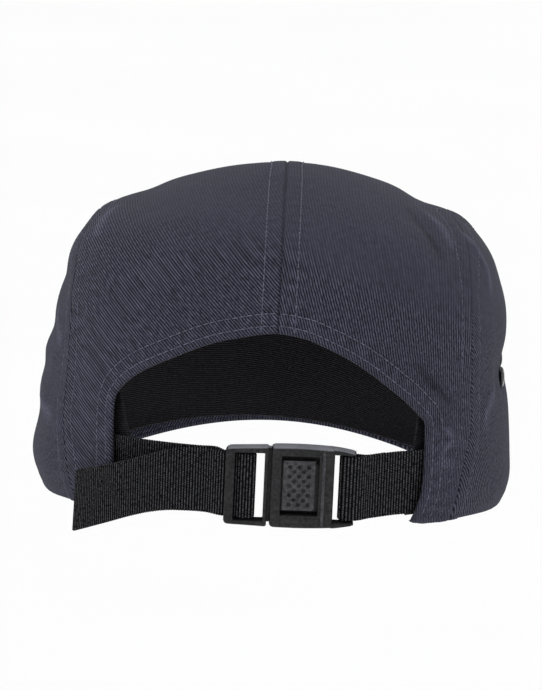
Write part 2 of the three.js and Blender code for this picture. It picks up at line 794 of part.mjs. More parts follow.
// A station on the crown: `out` mm outside the cloth's face, `drop` mm below the strap's
// middle line and tipped `tip` degrees further outward at its upper edge.
function crownStation({ x, out, drop = 0, tip = 0 }) {
  const reach = strapWidth / 2 / crownHeight;
  const height = strapHeight / crownHeight;
  const upper = skin(placeBehind(x, height + reach), -out);
  const lower = skin(placeBehind(x, height - reach), -out);
  const across = upper.clone().sub(lower).normalize();
  const middlePoint = upper.add(lower).multiplyScalar(0.5);
  across.applyAxisAngle(new THREE.Vector3(1, 0, 0), degToRad(tip));
  middlePoint.addScaledVector(new THREE.Vector3(0, 0, 1), -drop);
  return { middle: middlePoint, across };
}

// A station in the buckle, `x` along it and `out` from its middle plane.
function buckleStation({ x, out }) {
  const place = new THREE.Vector3(x, 0, out).applyQuaternion(buckleTurn).add(buckleOrigin);
  return { middle: place, across: buckleUp.clone() };
}

// Stations round a bar: half a turn of the webbing's middle line, between two angles.
function turnRound(x, out, radius, from, to) {
  return Array.from({ length: turnSteps + 1 }, (_, i) => {
    const angle = degToRad(lerp(from, to, i / turnSteps));
    return buckleStation({ x: x + radius * Math.cos(angle), out: out + radius * Math.sin(angle) });
  });
}

// The webbing's two faces: its outer face is on the left of the way that it runs, seen from above.
function webbing(stations) {
  const face = (offset) => stations.map((station, i) => {
    const last = stations[Math.max(i - 1, 0)].middle;
    const next = stations[Math.min(i + 1, stations.length - 1)].middle;
    const inStep = station.middle.clone().sub(last).normalize();
    const outStep = next.clone().sub(station.middle).normalize();
    const way = inStep.clone().add(outStep).normalize();
    const stretch = 1 / Math.max(way.dot(i ? inStep : outStep), 0.5);
    const out = way.cross(station.across).normalize();
    return [-0.5, 0.5].map((share) => station.middle.clone()
      .addScaledVector(out, offset * stretch)
      .addScaledVector(station.across, share * strapWidth));
  });
  return sheet(face(strapThickness / 2), face(-strapThickness / 2));
}

const underLeg = -(clothThickness + strapRoom + strapThickness / 2);
const legEdgeLeft = archLeft.at(-1).side * halfWidth;
const legEdgeRight = archRight.at(-1).side * halfWidth;
const overLeg = layerGap + strapThickness / 2;

// The loose tail, in shares of the way from the buckle to its end
const tail = [
  { way: 0.12, drop: -0.05, tip: 0.0, lift: -0.75 },
  { way: 0.26, drop: -0.06, tip: 0.1, lift: -0.3 },
  { way: 0.38, drop: -0.02, tip: 0.4, lift: 0.2 },
  { way: 0.5, drop: 0.11, tip: 0.8, lift: 0.65 },
  { way: 0.62, drop: 0.3, tip: 1.0, lift: 0.95 },
  { way: 0.74, drop: 0.51, tip: 0.9, lift: 1.1 },
  { way: 0.87, drop: 0.745, tip: 0.65, lift: 1.1 },
  { way: 1.0, drop: 1.0, tip: 0.3, lift: 1.1 },
];

// From under the left leg into the buckle, round the middle bar and back out over the leg
const mainShares = [0, 0.17, 0.34, 0.5, 0.66, 0.82, 1];
const mainRun = (share) => lerp(legEdgeLeft - strapTuck, barLeft[0] - mainEnd, share);
const strapLeft = webbing([
  ...mainShares.map((s) => crownStation({ x: mainRun(s), out: underLeg, drop: -mainRise })),
  buckleStation({ x: barLeft[0], out: mainOut }),
  buckleStation({ x: barLeft[1], out: mainOut }),
  ...turnRound(barMiddle[1], middleBarSide, bendMiddle, -90, 90),
  buckleStation({ x: barMiddle[0], out: middleBarSide + bendMiddle }),
  buckleStation({ x: barLeft[1], out: tailOut }),
  buckleStation({ x: barLeft[0], out: tailOut }),
  ...tail.map((row) => crownStation({
    x: lerp(barLeft[0], tailEnd, row.way),
    out: overLeg + tailLift * row.lift,
    drop: tailDrop * row.drop,
    tip: tailTip * row.tip,
  })),
]);

// From under the right leg round the female half's bar and back beneath itself
const rightShares = [1, 0.82, 0.64, 0.46, 0.3, 0.15];
const runStart = armEnd + runEase;
const rightRun = (share) => lerp(runStart, legEdgeRight + strapTuck, share);
const runOut = loopBarSide + loopMiddle - buckleDepth;
const outOnRun = (x) => lerp(runOut, underLeg, smoothstep(x, runStart, legEdgeRight - legEase));
const strapRight = webbing([
  ...rightShares.map((s) => crownStation({ x: rightRun(s), out: outOnRun(rightRun(s)) })),
  buckleStation({ x: barFemale[1] + loopEase, out: loopBarSide + loopMiddle }),
  ...turnRound(barFemale[0], loopBarSide, loopMiddle, 90, 270),
  buckleStation({ x: barFemale[1] + loopEase, out: loopBarSide - loopMiddle }),
  ...loopTail.map((x) => crownStation({ x, out: outOnRun(x) - strand, drop: loopTailDrop })),
]);

// Materials

const finish = (color, roughness, metalness = 0) => new THREE.MeshStandardMaterial({
  color, roughness, metalness,
});
const slateTwill = () => finish(0x3b3d49, 0.9);
const bandTwill = () => finish(0x2c2c33, 0.9);
const webbingBlack = () => finish(0x17171a, 0.8);
const plasticBlack = () => finish(0x26262a, 0.45);
const darkMetal = () => finish(0x1c1c1e, 0.35, 0.9);

const cap = new THREE.Group();

function add(name, geometry, material, parent = cap) {
  geometry.computeVertexNormals();
  const mesh = new THREE.Mesh(geometry, material);
  mesh.name = name;
  parent.add(mesh);
  return mesh;
}

add('front_panel', frontPanel, slateTwill());
add('side_panel_left', sidePanelLeft, slateTwill());
add('side_panel_right', sidePanelRight, slateTwill());
add('back_panel_left', backPanelLeft, slateTwill());
add('back_panel_right', backPanelRight, slateTwill());
add('visor', visor, slateTwill());
add('sweatband', sweatband, bandTwill());
add('strap_left', strapLeft, webbingBlack());
add('strap_right', strapRight, webbingBlack());

const buckle = new THREE.Group();
buckle.position.copy(buckleOrigin);
buckle.quaternion.copy(buckleTurn);
cap.add(buckle);
add('buckle_male', buckleMale, plasticBlack(), buckle);
add('buckle_female', buckleFemale, plasticBlack(), buckle);
add('buckle_button', buckleButton, plasticBlack(), buckle);

for (const eyelet of eyelets) {
  const mesh = add(eyelet.name, eyeletGeometry(), darkMetal());
  const { position, turn } = eyeletFrame(eyelet.bearing);
  mesh.position.copy(position);
  mesh.quaternion.copy(turn);
}

export default cap;
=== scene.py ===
# %% [markdown]
# # A five panel cap, seen from behind
# The cap is sewn from five pieces of cotton twill. Its back opens in an arch, and a webbing
# strap with a push-button buckle crosses the opening. A plain faceted model of it is packed
# already and fixes every size. This lesson dresses that model: each cloth piece is worked out
# again as a fine surface on the same crown, with its hems, welts, creases and stitches.

# %% Load the frame
import math

import bpy
import numpy as np
from mathutils import Matrix


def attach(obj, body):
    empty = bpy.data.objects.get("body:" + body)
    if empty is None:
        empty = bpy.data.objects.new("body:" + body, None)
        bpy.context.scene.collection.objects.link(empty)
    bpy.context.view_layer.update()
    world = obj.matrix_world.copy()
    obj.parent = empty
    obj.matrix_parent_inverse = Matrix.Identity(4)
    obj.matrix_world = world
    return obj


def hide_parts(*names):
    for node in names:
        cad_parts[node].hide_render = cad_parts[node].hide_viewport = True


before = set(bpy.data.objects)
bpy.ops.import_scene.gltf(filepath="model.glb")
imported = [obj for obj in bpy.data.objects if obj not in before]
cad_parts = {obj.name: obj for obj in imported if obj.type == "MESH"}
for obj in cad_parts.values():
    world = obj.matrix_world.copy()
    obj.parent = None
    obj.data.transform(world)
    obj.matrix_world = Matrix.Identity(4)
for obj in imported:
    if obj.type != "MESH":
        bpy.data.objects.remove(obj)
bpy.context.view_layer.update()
MM = 0.001
print("nodes:", sorted(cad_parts))

# %% [markdown]
# ## The crown as a surface
# A worn crown is a soft dome, a rounded rectangle in plan, widest just over the rim. It could
# be sculpted, but a formula keeps each seam and stitch on the cloth exactly. The dome is a
# stack of levels: each says how wide it is, how far it reaches to the front and the back, and
# how square its corners are. A smooth curve through the rows gives every height between.

# %% Levels of the crown
CROWN_HEIGHT, HALF_WIDTH, FRONT_REACH, BACK_REACH = 124.8, 89.5, 101.0, 99.0
CROWN_LEAN = 1.5
# height, half width, front reach, back reach (shares) and the power of the rounded square
LEVELS = np.array([
    [0.0, 0.975, 1.0, 0.925, 2.25],
    [0.1, 1.005, 1.0, 0.955, 2.35],
    [0.25, 0.997, 0.985, 0.985, 2.35],
    [0.4, 0.98, 0.966, 0.995, 2.3],
    [0.53, 0.962, 0.943, 0.99, 2.3],
    [0.65, 0.932, 0.907, 0.965, 2.3],
    [0.75, 0.882, 0.85, 0.915, 2.3],
    [0.83, 0.775, 0.755, 0.825, 2.25],
    [0.895, 0.615, 0.6, 0.685, 2.2],
    [0.945, 0.42, 0.415, 0.49, 2.1],
    [0.985, 0.205, 0.21, 0.25, 2.0],
    [1.0, 0.0, 0.0, 0.0, 2.0],
])
TOP = len(LEVELS) - 1
MIRROR = np.array([1, -1, -1, -1, 1])
ROWS = np.vstack([2 * LEVELS[0] - LEVELS[1], LEVELS, LEVELS[-2] * MIRROR])


def cubic(a, b, m, n, f):
    """From a to b while f goes from 0 to 1, with the slopes m and n at the ends."""
    return (2 * a - 2 * b + m + n) * f**3 + (3 * b - 3 * a - 2 * m - n) * f**2 + m * f + a


def through_rows(rows, t, last):
    """A cubic through four neighbouring rows, t counting from the second: each slope is half
    the step between the rows on either side."""
    i = np.clip(np.floor(t).astype(int), 0, last)
    a, b, d, e = rows[i], rows[i + 1], rows[i + 2], rows[i + 3]
    return cubic(b, d, (d - a) / 2, (e - b) / 2, (t - i)[..., None])


def level_at(t):
    """The crown's level, t counting the rows of its table from 0."""
    return through_rows(ROWS, np.asarray(t, float), TOP - 1)


SAMPLES = np.linspace(0, TOP, 4001)
HEIGHTS = level_at(SAMPLES)[:, 0]


def level_of(height):
    """The level number at a share of the height, read back from a fine list of heights."""
    return np.interp(height, HEIGHTS, SAMPLES)


def lean_at(height):
    """The dome leans sideways by a smooth step from its rim to its top."""
    h = np.clip(height, 0, 1)
    return CROWN_LEAN * h * h * (3 - 2 * h)


def crown_point(place):
    """The dome as a map: its top is the middle, its rim the unit circle, +y the visor. A point
    lies on a ray at its bearing, where width and reach make a rounded square."""
    p, q = place[..., 0], place[..., 1]
    row, bearing = level_at(TOP * (1 - np.hypot(p, q))), np.arctan2(p, q)
    s, c = np.sin(bearing), np.cos(bearing)
    reach = np.where(c >= 0, row[..., 2] * FRONT_REACH, row[..., 3] * BACK_REACH)
    across = np.maximum(np.abs(s), 1e-9) / np.maximum(row[..., 1] * HALF_WIDTH, 1e-6)
    along = np.maximum(np.abs(c), 1e-9) / np.maximum(reach, 1e-6)
    r = (across ** row[..., 4] + along ** row[..., 4]) ** (-1 / row[..., 4])
    return np.stack([r * s + lean_at(row[..., 0]), r * c, row[..., 0] * CROWN_HEIGHT], -1)


def unit(v):
    """The same direction with length one."""
    return v / np.maximum(np.linalg.norm(v, axis=-1, keepdims=True), 1e-12)


def slopes(surface, place, step=1e-3):
    """How the surface's point moves for a step east and a step north on the map."""
    return [(surface(place + way) - surface(place - way)) / (2 * step) for way in step * np.eye(2)]


def crown_normal(place):
    """The way the dome faces: square to both slopes."""
    return unit(np.cross(*slopes(crown_point, place)))


def way_along(line):
    """How far along a line each of its points lies, mm."""
    return np.concatenate([[0], np.cumsum(np.linalg.norm(np.diff(line, axis=0), axis=1))])


def place_at(bearing, height):
    """The place on the map at a bearing in degrees and a share of the height."""
    radius = 1 - level_of(height) / TOP
    angle = np.radians(bearing)
    return np.stack([radius * np.sin(angle), radius * np.cos(angle)], -1)


def place_behind(x, height):
    """The place on the back of the dome that is seen at x mm and a share of the height."""
    row = level_at(level_of(height))
    across = x - lean_at(height)
    share = np.abs(across) / (row[..., 1] * HALF_WIDTH)
    y = -row[..., 3] * BACK_REACH * np.maximum(1 - share ** row[..., 4], 0) ** (1 / row[..., 4])
    return place_at(np.degrees(np.arctan2(across, y)), height)


print("dome's top and rim:", crown_point(np.array([[0, 0], [0, 1.0], [1.0, 0]])).round(1).tolist())

# %% [markdown]
# ## Soft folds
# Worn cloth swells and sinks in broad folds over the shoulders. Each fold is a line with a
# bell-shaped swelling round it, the same as in the plain model. Sculpting by hand would do it
# too, but lines can be moved one by one. Cloth is held flat round each eyelet.

# %% Folds and flat places
# two ends as shares of half width, back reach and height, then swelling and spread in mm
FOLDS = np.array([
    [0.75, -0.3, 0.8, 0.75, 0.45, 0.82, 0.6, 9],
    [0.58, -0.38, 0.87, 0.58, 0.35, 0.88, -2.0, 8],
    [-0.77, -0.3, 0.82, -0.77, 0.45, 0.83, 1.0, 9],
    [-0.58, -0.38, 0.89, -0.58, 0.35, 0.9, -1.2, 8],
    [0.95, -0.35, 0.41, 0.98, 0.2, 0.43, -2.6, 8],
    [0.97, -0.25, 0.58, 0.95, 0.15, 0.61, 0.6, 8],
    [-0.93, -0.3, 0.62, -0.93, 0.2, 0.64, -1.2, 6],
    [-0.95, -0.35, 0.49, -0.95, 0.2, 0.48, -0.8, 5],
    [-0.97, -0.35, 0.42, -0.97, 0.15, 0.4, 1.2, 5],
    [-0.99, -0.3, 0.3, -0.99, 0.2, 0.3, 1.4, 6.5],
    [-1.0, -0.4, 0.1, -1.0, 0.2, 0.1, 1.8, 10],
    [1.0, -0.4, 0.06, 1.0, 0.2, 0.04, 1.2, 8],
])
CROWN_SIZE = np.array([HALF_WIDTH, BACK_REACH, CROWN_HEIGHT])
EYELET_HEIGHT, EYELET_FLATNESS = 49.5, 8.0
EYELETS = {
    "eyelet_right_rear": 103, "eyelet_right_front": 72,
    "eyelet_left_rear": -75, "eyelet_left_front": -53,
}


def fold_swell(points):
    """The sum of all folds: each a bell curve of the distance to its line."""
    total = np.zeros(points.shape[:-1])
    for fold in FOLDS:
        start, way = fold[:3] * CROWN_SIZE, (fold[3:6] - fold[:3]) * CROWN_SIZE
        share = np.clip((points - start) @ way / (way @ way), 0, 1)
        distance = np.linalg.norm(points - start - share[..., None] * way, axis=-1)
        total += fold[6] * np.exp(-((distance / fold[7]) ** 2))
    return total


EYELET_PLACES = place_at(np.array(list(EYELETS.values())), EYELET_HEIGHT / CROWN_HEIGHT)
EYELET_SPOTS = crown_point(EYELET_PLACES)
EYELET_SWELLS = fold_swell(EYELET_SPOTS)


def swell_at(points):
    """The folds, blended to one level close to each eyelet."""
    total = fold_swell(points)
    for spot, swell in zip(EYELET_SPOTS, EYELET_SWELLS):
        hold = np.exp(-((np.linalg.norm(points - spot, axis=-1) / EYELET_FLATNESS) ** 2))
        total += (swell - total) * hold
    return total


def skin(place, depth=0.0):
    """The cloth's outer face on the map, or a surface `depth` mm inside it."""
    points = crown_point(place)
    return points + crown_normal(place) * (swell_at(points) - depth)[..., None]


print("swelling at the eyelets, mm:", EYELET_SWELLS.round(2).tolist())

# %% [markdown]
# ## Seams and edges
# Five edges meet on this cap: two side seams that climb the back and turn forward, the seam
# over the front, two seams beside the visor and one up the middle of the back. Each is a short
# list of places and a smooth curve through it, so a seam can be read at any share of its way.

# %% Seam tables and curves
SIDE_SEAM_RIGHT = np.array([
    [134.9, 0.0], [134.4, 0.13], [133.0, 0.21], [131.4, 0.3], [131.1, 0.42], [131.0, 0.53],
    [129.4, 0.66], [126.5, 0.74], [119.0, 0.8], [105.0, 0.846], [90.0, 0.862], [74.0, 0.83],
    [61.0, 0.77], [50.0, 0.7],
])
SIDE_SEAM_LEFT = np.array([
    [-129.5, 0.0], [-128.0, 0.09], [-126.5, 0.17], [-124.5, 0.26], [-123.7, 0.4], [-122.0, 0.52],
    [-118.8, 0.62], [-114.5, 0.7], [-106.0, 0.765], [-94.0, 0.81], [-79.0, 0.82], [-63.0, 0.77],
    [-50.0, 0.7],
])
FRONT_TOP = np.array([
    [-50, 0.7], [-34, 0.795], [-18, 0.862], [0, 0.885], [18, 0.862], [34, 0.795], [50, 0.7],
])
FRONT_FOOT = np.array([[50, 0.0], [46.5, 0.2], [45, 0.4], [46.3, 0.56], [50, 0.7]])
# the arch and the inner edge of each leg, as shares of half width and height seen from behind
ARCH_RIGHT = np.array([
    [0.0, 0.596], [0.067, 0.59], [0.133, 0.579], [0.199, 0.559], [0.371, 0.492], [0.465, 0.441],
    [0.54, 0.397], [0.598, 0.355], [0.626, 0.331], [0.632, 0.3], [0.634, 0.22], [0.628, 0.13],
    [0.618, 0.076], [0.608, 0.022],
])
ARCH_LEFT = np.array([
    [0.0, 0.596], [-0.073, 0.591], [-0.154, 0.579], [-0.235, 0.565], [-0.398, 0.516],
    [-0.482, 0.485], [-0.583, 0.439], [-0.644, 0.395], [-0.668, 0.359], [-0.672, 0.305],
    [-0.668, 0.235], [-0.665, 0.186], [-0.662, 0.1], [-0.66, 0.02],
])
ARCH_PART, RISE_PART, LEG_PART = 10 / 14, 13 / 25, 4 / 25
RIM_RISE, LEG_RISE, LEG_BEARING, LEG_SPREAD = 10.0, 1.6, 131, 17
# how far the right leg's lower corner has curled inward, in shares of half width
LEG_CURL = np.array([0.008, 0.026])
VISOR_BEARING = FRONT_FOOT[0, 0]


def read(rows, way, at):
    """Each column of the rows, read where the way reaches `at`."""
    return np.stack([np.interp(at, way, column) for column in rows.T], -1)


def curve(knots, shares):
    """A smooth curve through the knots, read at shares of its length."""
    t = np.linspace(0, len(knots) - 1, 60 * len(knots))
    fine = through_rows(np.vstack([knots[:1], knots, knots[-1:]]), t, len(knots) - 2)
    way = way_along(fine)
    return read(fine, way, np.asarray(shares) * way[-1])


def rim_height(bearing):
    """The rim is level except over the visor, where it rises in a cosine arch, and a little
    beside each leg."""
    share = np.minimum(np.abs(bearing) / VISOR_BEARING, 1)
    at_leg = LEG_RISE * np.exp(-(((np.abs(bearing) - LEG_BEARING) / LEG_SPREAD) ** 2))
    return (RIM_RISE * np.cos(np.pi / 2 * share) ** 2 + at_leg) / CROWN_HEIGHT


def rim(start, end, shares):
    bearings = start + (end - start) * shares
    return place_at(bearings, rim_height(bearings))


def seam_knots(rows):
    return place_at(rows[:, 0], rows[:, 1])


class Side:
    """The edges of one side's panels, each a function of shares from 0 to 1."""

    def __init__(self, seam_rows, arch_rows, sign):
        self.sign, self.seam_bearing = sign, seam_rows[0, 0]
        foot = [self.seam_bearing, rim_height(self.seam_bearing)]
        seam = seam_knots(np.vstack([foot, seam_rows[1:]]))
        rows, front_foot = arch_rows.copy(), seam_knots(FRONT_FOOT * [sign, 1])
        rows[-2:, 0] -= LEG_CURL * (sign > 0)
        opening = self.opening_knots = place_behind(rows[:, 0] * HALF_WIDTH, rows[:, 1])
        self.seam = lambda shares: curve(seam, shares)
        self.arch = lambda shares: curve(opening, shares * ARCH_PART)
        self.leg_edge = lambda shares: curve(opening, 1 - shares * (1 - ARCH_PART))
        self.front_foot = lambda shares: curve(front_foot, shares)
        self.front_top = lambda shares: curve(seam_knots(FRONT_TOP), 0.5 + sign * shares / 2)

    def leg_foot(self, shares):
        """The bottom of a leg: it drops in a parabola to the rim at the side seam."""
        corner = self.opening_knots[-1]
        bearing = np.degrees(np.arctan2(*corner))
        bearings = bearing + (self.seam_bearing - bearing) * shares
        low, height = rim_height(bearings), level_at(TOP * (1 - np.hypot(*corner)))[0]
        return place_at(bearings, low + (height - low) * (1 - shares) ** 2)


RIGHT = Side(SIDE_SEAM_RIGHT, ARCH_RIGHT, 1)
LEFT = Side(SIDE_SEAM_LEFT, ARCH_LEFT, -1)
FINE = np.linspace(0, 1, 260)


def centre_seam(shares):
    """The seam up the middle of the back, straight on the map from the arch to the front."""
    start, end = RIGHT.arch(np.zeros(1)), RIGHT.front_top(np.zeros(1))
    return start + (end - start) * shares[:, None]


SEAM_CURVES = {
    "centre": centre_seam(FINE), "side_right": RIGHT.seam(FINE), "side_left": LEFT.seam(FINE),
    "front_top": curve(seam_knots(FRONT_TOP), FINE), "front_right": RIGHT.front_foot(FINE),
    "front_left": LEFT.front_foot(FINE),
}
HEM_CURVES = {side.sign: curve(side.opening_knots, FINE) for side in (LEFT, RIGHT)}
RIM_CURVES = {
    "rim": rim(LEFT.seam_bearing, RIGHT.seam_bearing, FINE),
    "leg_right": RIGHT.leg_foot(FINE), "leg_left": LEFT.leg_foot(FINE),
}
for name, places in SEAM_CURVES.items():
    print(name, "seam,", round(way_along(skin(places))[-1]), "mm")

# %% [markdown]
# ## What sewing does to the surface
# Where two panels join, the cloth is double and pressed open, so a low welt runs on both sides
# of a sharp groove, and each row of topstitching pulls in a furrow with small puckers. Hems are
# thicker and roll over at their edge. All of it depends only on the distance to the nearest
# seam and on the way along it, so it is one formula on all the panels.

# %% Distances to the seams
SEAM_ROW, HEM_ROWS, FOOT_ROW = 6.2, (2.9, 7.5), 5.0
# how high the cloth stands where it is folded, how round its edges are and how it puckers, mm
SEAM_WELT, HEM_WELT, FOOT_WELT, EDGE_ROLL = 0.34, 0.42, 0.2, 0.95
SEAM_PUCKER, HEM_PUCKER, FOOT_PUCKER = 0.13, 0.16, 0.05


def nearest(points, lines):
    """The distance from each point to the nearest of the lines, and how far along it that is."""
    flat = points.reshape(-1, 3)
    best, along = np.full(len(flat), 1e9), np.zeros(len(flat))
    for line in lines:
        way = way_along(line)
        for start in range(0, len(flat), 4000):
            part = slice(start, start + 4000)
            squares = ((flat[part, None] - line[None]) ** 2).sum(-1)
            found = squares.argmin(1)
            for first in (np.maximum(found - 1, 0), np.minimum(found, len(line) - 2)):
                step, off = line[first + 1] - line[first], flat[part] - line[first]
                share = np.clip((off * step).sum(-1) / np.maximum((step**2).sum(-1), 1e-12), 0, 1)
                distance = np.linalg.norm(off - share[:, None] * step, axis=-1)
                spot = way[first] + share * (way[first + 1] - way[first])
                closer = distance < best[part]
                best[part][closer], along[part][closer] = distance[closer], spot[closer]
    return best.reshape(points.shape[:-1]), along.reshape(points.shape[:-1])


def fade(x, start, end):
    """One before start, nothing after end, a smooth step between."""
    t = np.clip((end - x) / (end - start), 0, 1)
    return t * t * (3 - 2 * t)


def bell(x, middle, spread):
    return np.exp(-(((x - middle) / spread) ** 2))


def roll(distance, radius):
    """A quarter circle that drops away at an edge."""
    inward = np.clip(radius - distance, 0, radius)
    return radius - np.sqrt(radius**2 - inward**2)


def pucker(way, distance, row, size):
    """Small waves along a row of stitches, uneven in pitch, strongest beside the row."""
    wave = np.sin(2 * np.pi * way / 5.6 + 1.9 * np.sin(way / 8.3) + 1.1 * np.sin(way / 3.1))
    return size * wave * (bell(distance, row - 2.2, 2.2) + 0.6 * bell(distance, row + 2.4, 2.6))


SEAM_LINES = [skin(places) for places in SEAM_CURVES.values()]
HEM_LINES = [skin(places) for places in HEM_CURVES.values()]
RIM_LINES = [skin(places) for places in RIM_CURVES.values()]

# %% [markdown]
# ## Creases
# A few sharper creases run down from the shoulders and under the right eyelet. Each is a curve
# of places with a narrow ridge or valley along it that dies away at both ends.

# %% Creases and the finished cloth surface
CREASES = [
    ([(104, 0.907), (114.5, 0.884), (119.7, 0.862), (123.9, 0.838), (127.4, 0.812)], 1.1, 2.6),
    ([(118, 0.915), (126, 0.885), (131, 0.855), (134.5, 0.815), (136, 0.785)], -0.8, 3.6),
    ([(150, 0.51), (144, 0.44), (137, 0.36)], -0.7, 3.4),
    ([(141.5, 0.32), (138, 0.27), (141, 0.22), (137, 0.17)], 0.5, 2.2),
    ([(108, 0.85), (110.2, 0.836), (112.5, 0.795), (114, 0.73), (116.4, 0.664)], 0.9, 2.8),
    ([(-95, 0.855), (-101.8, 0.846), (-110.8, 0.819), (-118.8, 0.786)], 0.8, 3.6),
    ([(110, 0.45), (117, 0.39), (124, 0.325), (124, 0.27)], 0.8, 2.6),
    ([(-104, 0.56), (-110, 0.5), (-117, 0.47)], 0.7, 3.0),
    ([(-100, 0.33), (-108, 0.27), (-118, 0.24)], 0.8, 4.0),
]


def crease_height(points, squeeze=1.0):
    """Ridges and valleys: a bell across each crease, a sine arch along it."""
    total = np.zeros(points.shape[:-1])
    for rows, size, spread in CREASES:
        rows = np.array(rows)
        line = crown_point(curve(place_at(rows[:, 0], rows[:, 1]), np.linspace(0, 1, 60)))
        distance, way = nearest(points, [line])
        arch = np.sin(np.pi * np.clip(way / way_along(line)[-1], 0, 1)) ** 0.7
        total += size * bell(distance, 0, spread * squeeze) * arch
    return total


def softness(points):
    """The faint unevenness of unlined cloth: three slow waves that cross."""
    x, y, z = points[..., 0], points[..., 1], points[..., 2]
    wave = np.sin(x / 12.5 + 1.4 * np.sin(z / 21)) + np.sin(z / 10.5 + 1.2 * np.sin(y / 17))
    return 0.14 * (wave + np.sin((x + z) / 7.4 + np.sin(y / 11)))


def relief(points):
    """Height over the smooth skin, mm, the distance to the nearest edge of a panel, and a painted
    light and shade, positive for paler: crease ridges are painted paler as a highlight, crease valleys,
    the seams' grooves and the hem's outer stitch row darker as shade, and the puckers in waves of both."""
    seam, seam_way = nearest(points, SEAM_LINES)
    hem, hem_way = nearest(points, HEM_LINES)
    foot, foot_way = nearest(points, RIM_LINES)
    middle, groove = fade(np.abs(points[..., 0]), 8, 14), bell(seam, 0, 0.5)
    seam_pucker = pucker(seam_way, seam, SEAM_ROW, SEAM_PUCKER)
    height = SEAM_WELT * fade(seam, 6.0, 7.6) - (0.32 + 0.25 * middle) * groove
    height += seam_pucker - 0.3 * bell(seam, SEAM_ROW, 0.8)
    height += HEM_WELT * fade(hem, 7.2, 8.9) - roll(hem, EDGE_ROLL)
    height += pucker(hem_way, hem, HEM_ROWS[1], HEM_PUCKER)
    height -= 0.2 * bell(hem, HEM_ROWS[0], 0.7) + 0.26 * bell(hem, HEM_ROWS[1], 0.8)
    height += FOOT_WELT * fade(foot, 4.5, 6.5) - roll(foot, EDGE_ROLL)
    height += pucker(foot_way, foot, FOOT_ROW, FOOT_PUCKER)
    height += (crease_height(points) + softness(points)) * (1 - fade(seam, 0.5, 5))
    # painted light and shade: paler on crease ridges, darker in crease valleys, seam grooves and the hem's
    # outer stitch row, in waves along the puckers
    wear_and_painted_light = crease_height(points, 0.55)
    wear_and_painted_light *= np.where(wear_and_painted_light > 0, 1.6, 0.7)
    wear_and_painted_light -= (0.08 + 0.14 * middle) * groove + 0.25 * bell(hem, HEM_ROWS[1], 0.7)
    wear_and_painted_light += seam_pucker + pucker(hem_way, hem, HEM_ROWS[1], HEM_PUCKER * 1.25)
    return height, np.minimum(np.minimum(seam, hem), foot), np.clip(wear_and_painted_light, -0.6, 0.7)


def cloth(place):
    """A place on the finished cloth: the skin raised by its relief."""
    base = skin(place)
    return base + crown_normal(place) * relief(base)[0][..., None]


# %% [markdown]
# ## Meshes from arrays
# Every piece below ends as an array of points and an array of faces. A closed sheet is made of
# the same cells twice, outer and inner, with a wall on each edge that only one cell has.

# %% Mesh helpers
def signed_volume(points, faces):
    """Six times the volume that the faces close, positive when they point outward."""
    volume = 0.0
    for corners in ((0, 1, 2), (0, 2, 3)):
        some = [face for face in faces if len(face) > corners[2]]
        a, b, c = (points[[face[k] for face in some]] for k in corners)
        volume += (a * np.cross(b, c)).sum()
    return volume


def make_piece(name, points, faces, node=None, slot=None, uv=None, material=None):
    """A mesh object from points in mm and faces, turned to point outward, that rides on the
    one body and stands for a node of the plain model where one is named."""
    points = np.asarray(points, float)
    faces = [list(face) for face in faces]
    if signed_volume(points - points.mean(0), faces) < 0:
        faces = [face[::-1] for face in faces]
    mesh = bpy.data.meshes.new(name)
    mesh.from_pydata((points * MM).tolist(), [], faces)
    mesh.polygons.foreach_set("use_smooth", np.ones(len(faces), bool))
    if uv is not None:
        corners = np.empty(len(mesh.loops), np.int32)
        mesh.loops.foreach_get("vertex_index", corners)
        mesh.uv_layers.new(name="Weave").data.foreach_set("uv", uv[corners].astype(np.float32).ravel())
    piece = bpy.data.objects.new(name, mesh)
    bpy.context.scene.collection.objects.link(piece)
    if material:
        mesh.materials.append(material)
    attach(piece, "root")
    if node:
        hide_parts(*([node] if isinstance(node, str) else node))
    print(name, len(points), "points,", sum(len(face) - 2 for face in faces), "triangles")
    return piece


def grid_cells(nu, nv, wrap_u=False, wrap_v=False):
    """The four-cornered cells of a grid of points, closed round where it wraps."""
    i, j = np.meshgrid(np.arange(nu - (not wrap_u)), np.arange(nv - (not wrap_v)), indexing="ij")
    i, j, k, m = i.ravel(), j.ravel(), (i.ravel() + 1) % nu, (j.ravel() + 1) % nv
    return np.stack([i * nv + j, k * nv + j, k * nv + m, i * nv + m], -1)


def closed_sheet(outer, inner, cells):
    """Outer cells, inner cells turned over, and walls on the edges that one cell alone has."""
    n = len(outer)
    edges = np.concatenate([cells[:, [k, (k + 1) % 4]] for k in range(4)])
    lone = edges[~np.isin(edges[:, 0] * n + edges[:, 1], edges[:, 1] * n + edges[:, 0])]
    walls = np.stack([lone[:, 1], lone[:, 0], lone[:, 0] + n, lone[:, 1] + n], -1)
    return np.concatenate([outer, inner]), np.concatenate([cells, cells[:, ::-1] + n, walls])


def loft(rings):
    """A closed skin through rings of points, each end closed by a fan from its middle."""
    count, size = rings.shape[:2]
    points = np.concatenate([rings.reshape(-1, 3), rings[[0, -1]].mean(1)])
    step = np.arange(size)
    after = (step + 1) % size
    base = (count - 1) * size
    first = np.stack([after, step, np.full(size, count * size)], -1)
    last = np.stack([base + step, base + after, np.full(size, count * size + 1)], -1)
    return points, grid_cells(count, size, wrap_v=True).tolist() + first.tolist() + last.tolist()


def together(parts):
    """Several sets of points and faces as one."""
    starts = np.cumsum([0] + [len(points) for points, _ in parts])
    faces = [[k + start for k in face] for (_, some), start in zip(parts, starts) for face in some]
    return np.concatenate([points for points, _ in parts]), faces


# %% [markdown]
# ## Laying the weave on a panel
# Twill has fine diagonal ribs. On the real cap the cloth was cut flat and eased over the head,
# and seen from behind its ribs still run nearly straight and evenly over a whole back panel.
# So each panel takes its weave straight from its own side, as if the cloth were pressed on
# from there. The right back panel was eased more: its ribs fan out towards the leg.

# %% Weave coordinates
WEAVE_MIDDLE = 92.0


